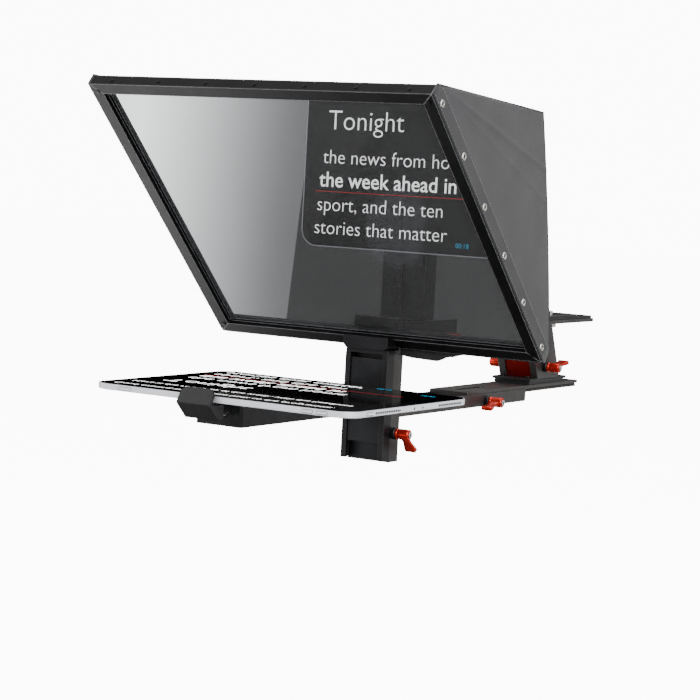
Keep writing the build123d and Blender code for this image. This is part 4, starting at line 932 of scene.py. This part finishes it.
# a black disc in each cap's middle: painted shade for the socket's hollow
fasteners(SOCKET_PROFILE, "snap_sockets", black_oxide)
print("snap caps:", 2 * SNAPS)

# %% [markdown]
# ## Clip springs
# The clip is pulled in by two compression springs on its rods. Each is a coil of round wire, drawn as
# a helix at one length, though the real spring shortens as the clip is pulled out.

# %% Springs
SPRING_X, SPRING_R, WIRE_R, TURNS, STEPS = 12 * MM, 3.7 * MM, 0.5 * MM, 11, 20
SPRING_LOW, SPRING_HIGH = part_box("clip_springs")
SPRING_Z = (SPRING_LOW.z + SPRING_HIGH.z) / 2
coils = []
for x in (-SPRING_X, SPRING_X):
    path = []
    for k in range(TURNS * STEPS + 1):
        turn = 2 * pi * k / STEPS
        share = k / (TURNS * STEPS)
        y = blend_points(SPRING_LOW.y + WIRE_R, SPRING_HIGH.y - WIRE_R, share)
        path.append((x + SPRING_R * cos(turn), y, SPRING_Z + SPRING_R * sin(turn)))
    coils.append(tube("coil", path, WIRE_R))
springs = settle(join(coils, "coils"), "wound_clip_springs", spring_steel, None)
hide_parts("clip_springs")
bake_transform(springs)
print("turns:", TURNS)

# %% [markdown]
# ## The script on the tablet
# The display shows its words mirrored top to bottom, so that the pane turns them the right way up for
# the reader. Each row is a text object made a mesh. It is set by the height of its capitals, flipped,
# and laid a hair above the cover glass. A thin red line with rounded ends marks the row to be read.

# %% Script rows
DISPLAY_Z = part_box("tablet_screen")[1].z + 0.05 * MM
CAPITAL = 0.72  # height of a capital in the lettering's own units
SCRIPT = (  # baseline in y, height of the capitals, start in x, all in mm, then weight and words
    (-432, 8, -108, -0.014, "Good evening and welcome back to the programme."),
    (-404, 8, -108, -0.014, "Here is the round-up of the week, with the headlines"),
    (-360, 21, -96, -0.012, "Tonight"),
    (-325, 15, -100, -0.012, "the news from home"),
    (-301, 16, -103, 0.008, "the week ahead in"),
    (-276, 15, -105, -0.012, "sport, and the ten"),
    (-252, 15, -107, -0.012, "stories that matter"),
)
CLOCKS = ((-247, 5, 62, 0.0, "00:18"), (-262, 5, 118, 0.0, "18:30"))
LINE_MIDDLE, LINE_LENGTH, LINE_WIDTH, LINE_ROUNDING = (5 * MM, -296 * MM), 225 * MM, 0.7 * MM, 0.34 * MM


def lettering(y, height, x, weight, words):
    """One row of words as a flat mesh that faces up, the tops of its letters towards the reader."""
    clear_selection()
    bpy.ops.object.text_add()
    row = bpy.context.object
    row.data.body, row.data.size, row.data.offset = words, 1.0, weight
    row.data.resolution_u = 4
    bpy.ops.object.convert(target="MESH")
    row = bpy.context.object
    scale = height * MM / CAPITAL
    flip = Matrix.Diagonal((scale, -scale, scale, 1))
    row.data.transform(Matrix.Translation((x * MM, y * MM, DISPLAY_Z)) @ flip)
    row.data.flip_normals()
    return row


script = join([lettering(*row) for row in SCRIPT], "script")
settle(script, "tablet_script", script_white, "tablet")
clock = join([lettering(*row) for row in CLOCKS], "clock")
settle(clock, "tablet_clocks", script_blue, "tablet")
clear_selection()
bpy.ops.mesh.primitive_plane_add(size=1, location=(*LINE_MIDDLE, DISPLAY_Z))
line = bpy.context.object
line.scale = (LINE_LENGTH, LINE_WIDTH, 1)
bpy.ops.object.transform_apply(location=True, rotation=True, scale=True)
edit_all()
bpy.ops.mesh.bevel(offset=LINE_ROUNDING, segments=4, affect="VERTICES")
bpy.ops.object.mode_set(mode="OBJECT")
settle(line, "tablet_reading_line", script_red, "tablet")
up = sum(1 for face in script.data.polygons if face.normal.z > 0)
print("script faces up:", up, "of", len(script.data.polygons))

# %% [markdown]
# ## Small openings on the tablet
# The right edge has two rows of sound holes with two microphone holes between them, and each button
# sits in a thin dark seam. The holes are short dark plugs with a rounded rim, which paint the shade inside
# each hole, and the seams are fine rings of painted shadow. On the front edge a long seam marks the plate
# that a stylus sits on.

# %% Holes and seams
# the dark plugs are painted shade for the holes' insides, and the seam rings are painted shadow for the
# gaps round the buttons
hole_shade_paint = plain_finish("painted_hole_shade", "0a0a0b", 0.0, 0.8, 0.9, 0.5 * MM, 0.01 * MM, 0.0)
seam_grey = plain_finish("seam_shadow", "3e3f44", 0.2, 0.5, 0.6, 0.5 * MM, 0.01 * MM, 0.0)
EDGE_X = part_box("tablet_shell")[1].x
EDGE_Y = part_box("tablet_shell")[0].y
MID_Z = (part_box("power_button")[0].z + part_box("power_button")[1].z) / 2
HOLE_R, PLUG_DEPTH, RIM, HOLE_PITCH, ROW_COUNT = 1.15 * MM, 0.3 * MM, 0.08 * MM, 3.1, 14
HOLES = [start + HOLE_PITCH * i for start in (-411, -300) for i in range(ROW_COUNT)] + [-345, -330]
clear_selection()
bpy.ops.mesh.primitive_cylinder_add(
    vertices=14, radius=HOLE_R, depth=PLUG_DEPTH, rotation=(0, pi / 2, 0)
)
bpy.ops.object.transform_apply(location=True, rotation=True, scale=True)
edit_all()
bpy.ops.mesh.bevel(offset=RIM, segments=2)
bpy.ops.object.mode_set(mode="OBJECT")
plug = bpy.context.object
plugs = [copy_at(plug, Matrix.Translation((EDGE_X, y * MM, MID_Z))) for y in HOLES]
bpy.data.objects.remove(plug)
settle(join(plugs, "plugs"), "tablet_sound_holes", hole_shade_paint, "tablet")


SEAM_STEPS, SEAM_R, SEAM_GAP = 40, 0.18 * MM, 0.7 * MM
ALONG_X, ALONG_Y = Vector((1, 0, 0)), Vector((0, 1, 0))


def ring_on(middle, along, length, height):
    """A fine seam round a long rounded outline in an upright face."""
    points = []
    for k in range(SEAM_STEPS):
        angle = 2 * pi * k / SEAM_STEPS
        shift = (length - height) / 2 * (1 if cos(angle) >= 0 else -1)
        rise = Vector((0, 0, height / 2 * sin(angle)))
        points.append(middle + along * (shift + height / 2 * cos(angle)) + rise)
    return tube("seam", points, SEAM_R, closed=True)


BUTTONS = {"power_button": ALONG_Y, "volume_up_button": ALONG_X, "volume_down_button": ALONG_X}
seams = []
for name, along in BUTTONS.items():
    low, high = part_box(name)
    middle = (low + high) / 2
    if along == ALONG_Y:
        middle.x = EDGE_X
    else:
        middle.y = EDGE_Y
    seams.append(ring_on(middle, along, (high - low).dot(along) + SEAM_GAP, high.z - low.z + SEAM_GAP))
STYLUS_MIDDLE, STYLUS_LENGTH, STYLUS_HEIGHT = Vector((-83 * MM, EDGE_Y, MID_Z)), 15 * MM, 3 * MM
seams.append(ring_on(STYLUS_MIDDLE, ALONG_X, STYLUS_LENGTH, STYLUS_HEIGHT))
settle(join(seams, "seams"), "tablet_button_seams", seam_grey, "tablet")
print("sound holes:", len(HOLES), "seams:", len(seams))

# %% [markdown]
# ## Floor, lights and camera
# The floor is one pale sheet well below the part, which stands on its tripod thread, and the sky has
# the same pale tone. Both look brighter to the camera than they light the part, as a lit backdrop
# does, so the two meet without a line. The light is a large soft box on the right, a
# weaker one on the left and one above. The glass needs a light of its own: it faces forwards and down,
# so what it mirrors lies below it. A graded card low on the left gives it the bright sweep that fades
# to the right. The card shows only in reflections, as a studio flag does.

# %% Pale floor and sky
FLOOR_Z, FLOOR_SIZE = -0.45, 40
SKY = "f7f7f7"
FLOOR_GLOW, SKY_GLOW, SKY_LIGHT = 11.0, 12.0, 0.9
bpy.ops.mesh.primitive_plane_add(size=FLOOR_SIZE, location=(0, 0, FLOOR_Z))
floor = bpy.context.object
floor.name = "floor"
floor_paint, tree, shader, place = begin("matt_pale_floor", "f2f2f1", roughness=0.9)
vary_colour(tree, shader, place, 400 * MM, "f1f1f0", "f4f4f3")
seen = add(tree, "LightPath").outputs["Is Camera Ray"]
backlight = add(tree, "MapRange", {"Value": seen, "To Min": 0.0, "To Max": FLOOR_GLOW})
tree.links.new(backlight.outputs["Result"], shader.inputs["Emission Strength"])
shader.inputs["Emission Color"].default_value = linear(SKY)
floor.data.materials.append(floor_paint)

world = bpy.data.worlds.new("pale_sky")
bpy.context.scene.world = world
world.use_nodes = True
world.node_tree.nodes["Background"].inputs["Color"].default_value = linear(SKY)
tree = world.node_tree
seen = add(tree, "LightPath").outputs["Is Camera Ray"]
strength = add(tree, "MapRange", {"Value": seen, "To Min": SKY_LIGHT, "To Max": SKY_GLOW})
tree.links.new(strength.outputs["Result"], tree.nodes["Background"].inputs["Strength"])
print("floor at", FLOOR_Z)

# %% Reflection card under the glass
CARD_MIDDLE, CARD_SIZE = (0.075, -0.175, -0.22), (1.65, 1.15)
BRIGHT_END, BRIGHT_SPAN = -0.317, 0.25  # where the sweep ends, measured across a slightly turned line
TURN = 0.0866
BRIGHT, DIM, BLACK = 6.4, 0.6, 0.12
FADE = 1.75  # how fast the sweep falls off


def only_reflected(name, middle, turn, size, material):
    """A flat card that shows only in reflections."""
    clear_selection()
    bpy.ops.mesh.primitive_plane_add(size=1, location=middle, rotation=turn)
    card = bpy.context.object
    card.name = name
    card.scale = (*size, 1)
    bpy.ops.object.transform_apply(location=True, rotation=True, scale=True)
    card.data.materials.append(material)
    card.visible_camera = card.visible_diffuse = card.visible_shadow = False
    card.visible_transmission = card.visible_volume_scatter = False


card_light = bpy.data.materials.new("graded_reflection_card")
card_light.use_nodes = True
tree = card_light.node_tree
tree.nodes.remove(tree.nodes["Principled BSDF"])
across = add(
    tree,
    "VectorMath",
    {0: add(tree, "TexCoord").outputs["Object"], 1: (1, TURN, 0)},
    operation="DOT_PRODUCT",
)
sweep = add(
    tree,
    "MapRange",
    {"Value": across.outputs["Value"], "From Min": BRIGHT_END, "From Max": BRIGHT_END - BRIGHT_SPAN},
)
curve = add(tree, "Math", {0: sweep.outputs["Result"], 1: FADE}, operation="POWER")
light = add(tree, "MapRange", {"Value": curve.outputs["Value"], "To Min": DIM, "To Max": BRIGHT})
bright = add(tree, "Math", {0: across.outputs["Value"], 1: BRIGHT_END}, operation="LESS_THAN")
level = add(
    tree,
    "Mix",
    {"Factor": bright.outputs["Value"], "A": BLACK, "B": light.outputs["Result"]},
)
glow = add(tree, "Emission", {"Strength": level.outputs["Result"]})
tree.links.new(glow.outputs["Emission"], tree.nodes["Material Output"].inputs["Surface"])
only_reflected("reflection_card", CARD_MIDDLE, (0, 0, 0), CARD_SIZE, card_light)
print("card from", DIM, "to", BRIGHT)

# %% Dark flag behind the part
# The tablet's cover glass is seen at a low angle and mirrors what stands behind the part. A dark flag
# there, which shows only in reflections, keeps the display black.
FLAG_MIDDLE, FLAG_SIZE, FLAG_ANGLE = (-1.0, 1.35, 0.2), (3.2, 1.3), radians(31.5)
flag_cloth, _, shader, _ = begin("matt_black_flag", "030303", roughness=1.0)
shader.inputs["Specular IOR Level"].default_value = 0.0
only_reflected("dark_flag", FLAG_MIDDLE, (pi / 2, 0, FLAG_ANGLE), FLAG_SIZE, flag_cloth)
print("flag size", FLAG_SIZE)

# %% Soft boxes
CENTRE = Vector((0, -0.08, 0.13))  # middle of the part, which all lamps face
SOFT_BOXES = {  # place, width and power in watts
    "right_soft_box": ((1.9, -1.0, 1.0), 1.6, 55),
    "left_soft_box": ((-1.7, -1.2, 0.9), 1.4, 22),
    "top_soft_box": ((0.1, 0.5, 2.1), 1.8, 45),
}
for name, (location, size, power) in SOFT_BOXES.items():
    lamp = bpy.data.lights.new(name, "AREA")
    lamp.shape, lamp.size, lamp.energy = "DISK", size, power
    box = in_scene(name, lamp)
    box.location = location
    box.rotation_euler = (CENTRE - Vector(location)).to_track_quat("-Z", "Y").to_euler()
print("soft boxes:", len(SOFT_BOXES))

# %% [markdown]
# ## Camera
# The camera stands to the right of the reader, a little above the tray, and leans a few degrees. It is
# placed by an azimuth, an elevation and a distance from the point that it looks at.

# %% Camera
AZIMUTH, ELEVATION, LEAN = radians(31.525), radians(4.57), radians(3.114)
AIM, DISTANCE = Vector((-0.0383, -0.1397, 0.0626)), 2.2
LENS, SENSOR = 111.09, 36
towards = Vector((sin(AZIMUTH) * cos(ELEVATION), -cos(AZIMUTH) * cos(ELEVATION), sin(ELEVATION)))
across = Vector((0, 0, 1)).cross(towards).normalized()
above = towards.cross(across)
right = across * cos(LEAN) + above * sin(LEAN)
upward = above * cos(LEAN) - across * sin(LEAN)
camera_data = bpy.data.cameras.new("camera")
camera_data.lens, camera_data.sensor_width = LENS, SENSOR
camera = in_scene("camera", camera_data)
turn = Matrix((right, upward, towards)).transposed().to_4x4()
camera.matrix_world = Matrix.Translation(AIM + towards * DISTANCE) @ turn
bpy.context.scene.camera = camera
print("camera at", [round(v, 3) for v in camera.location])
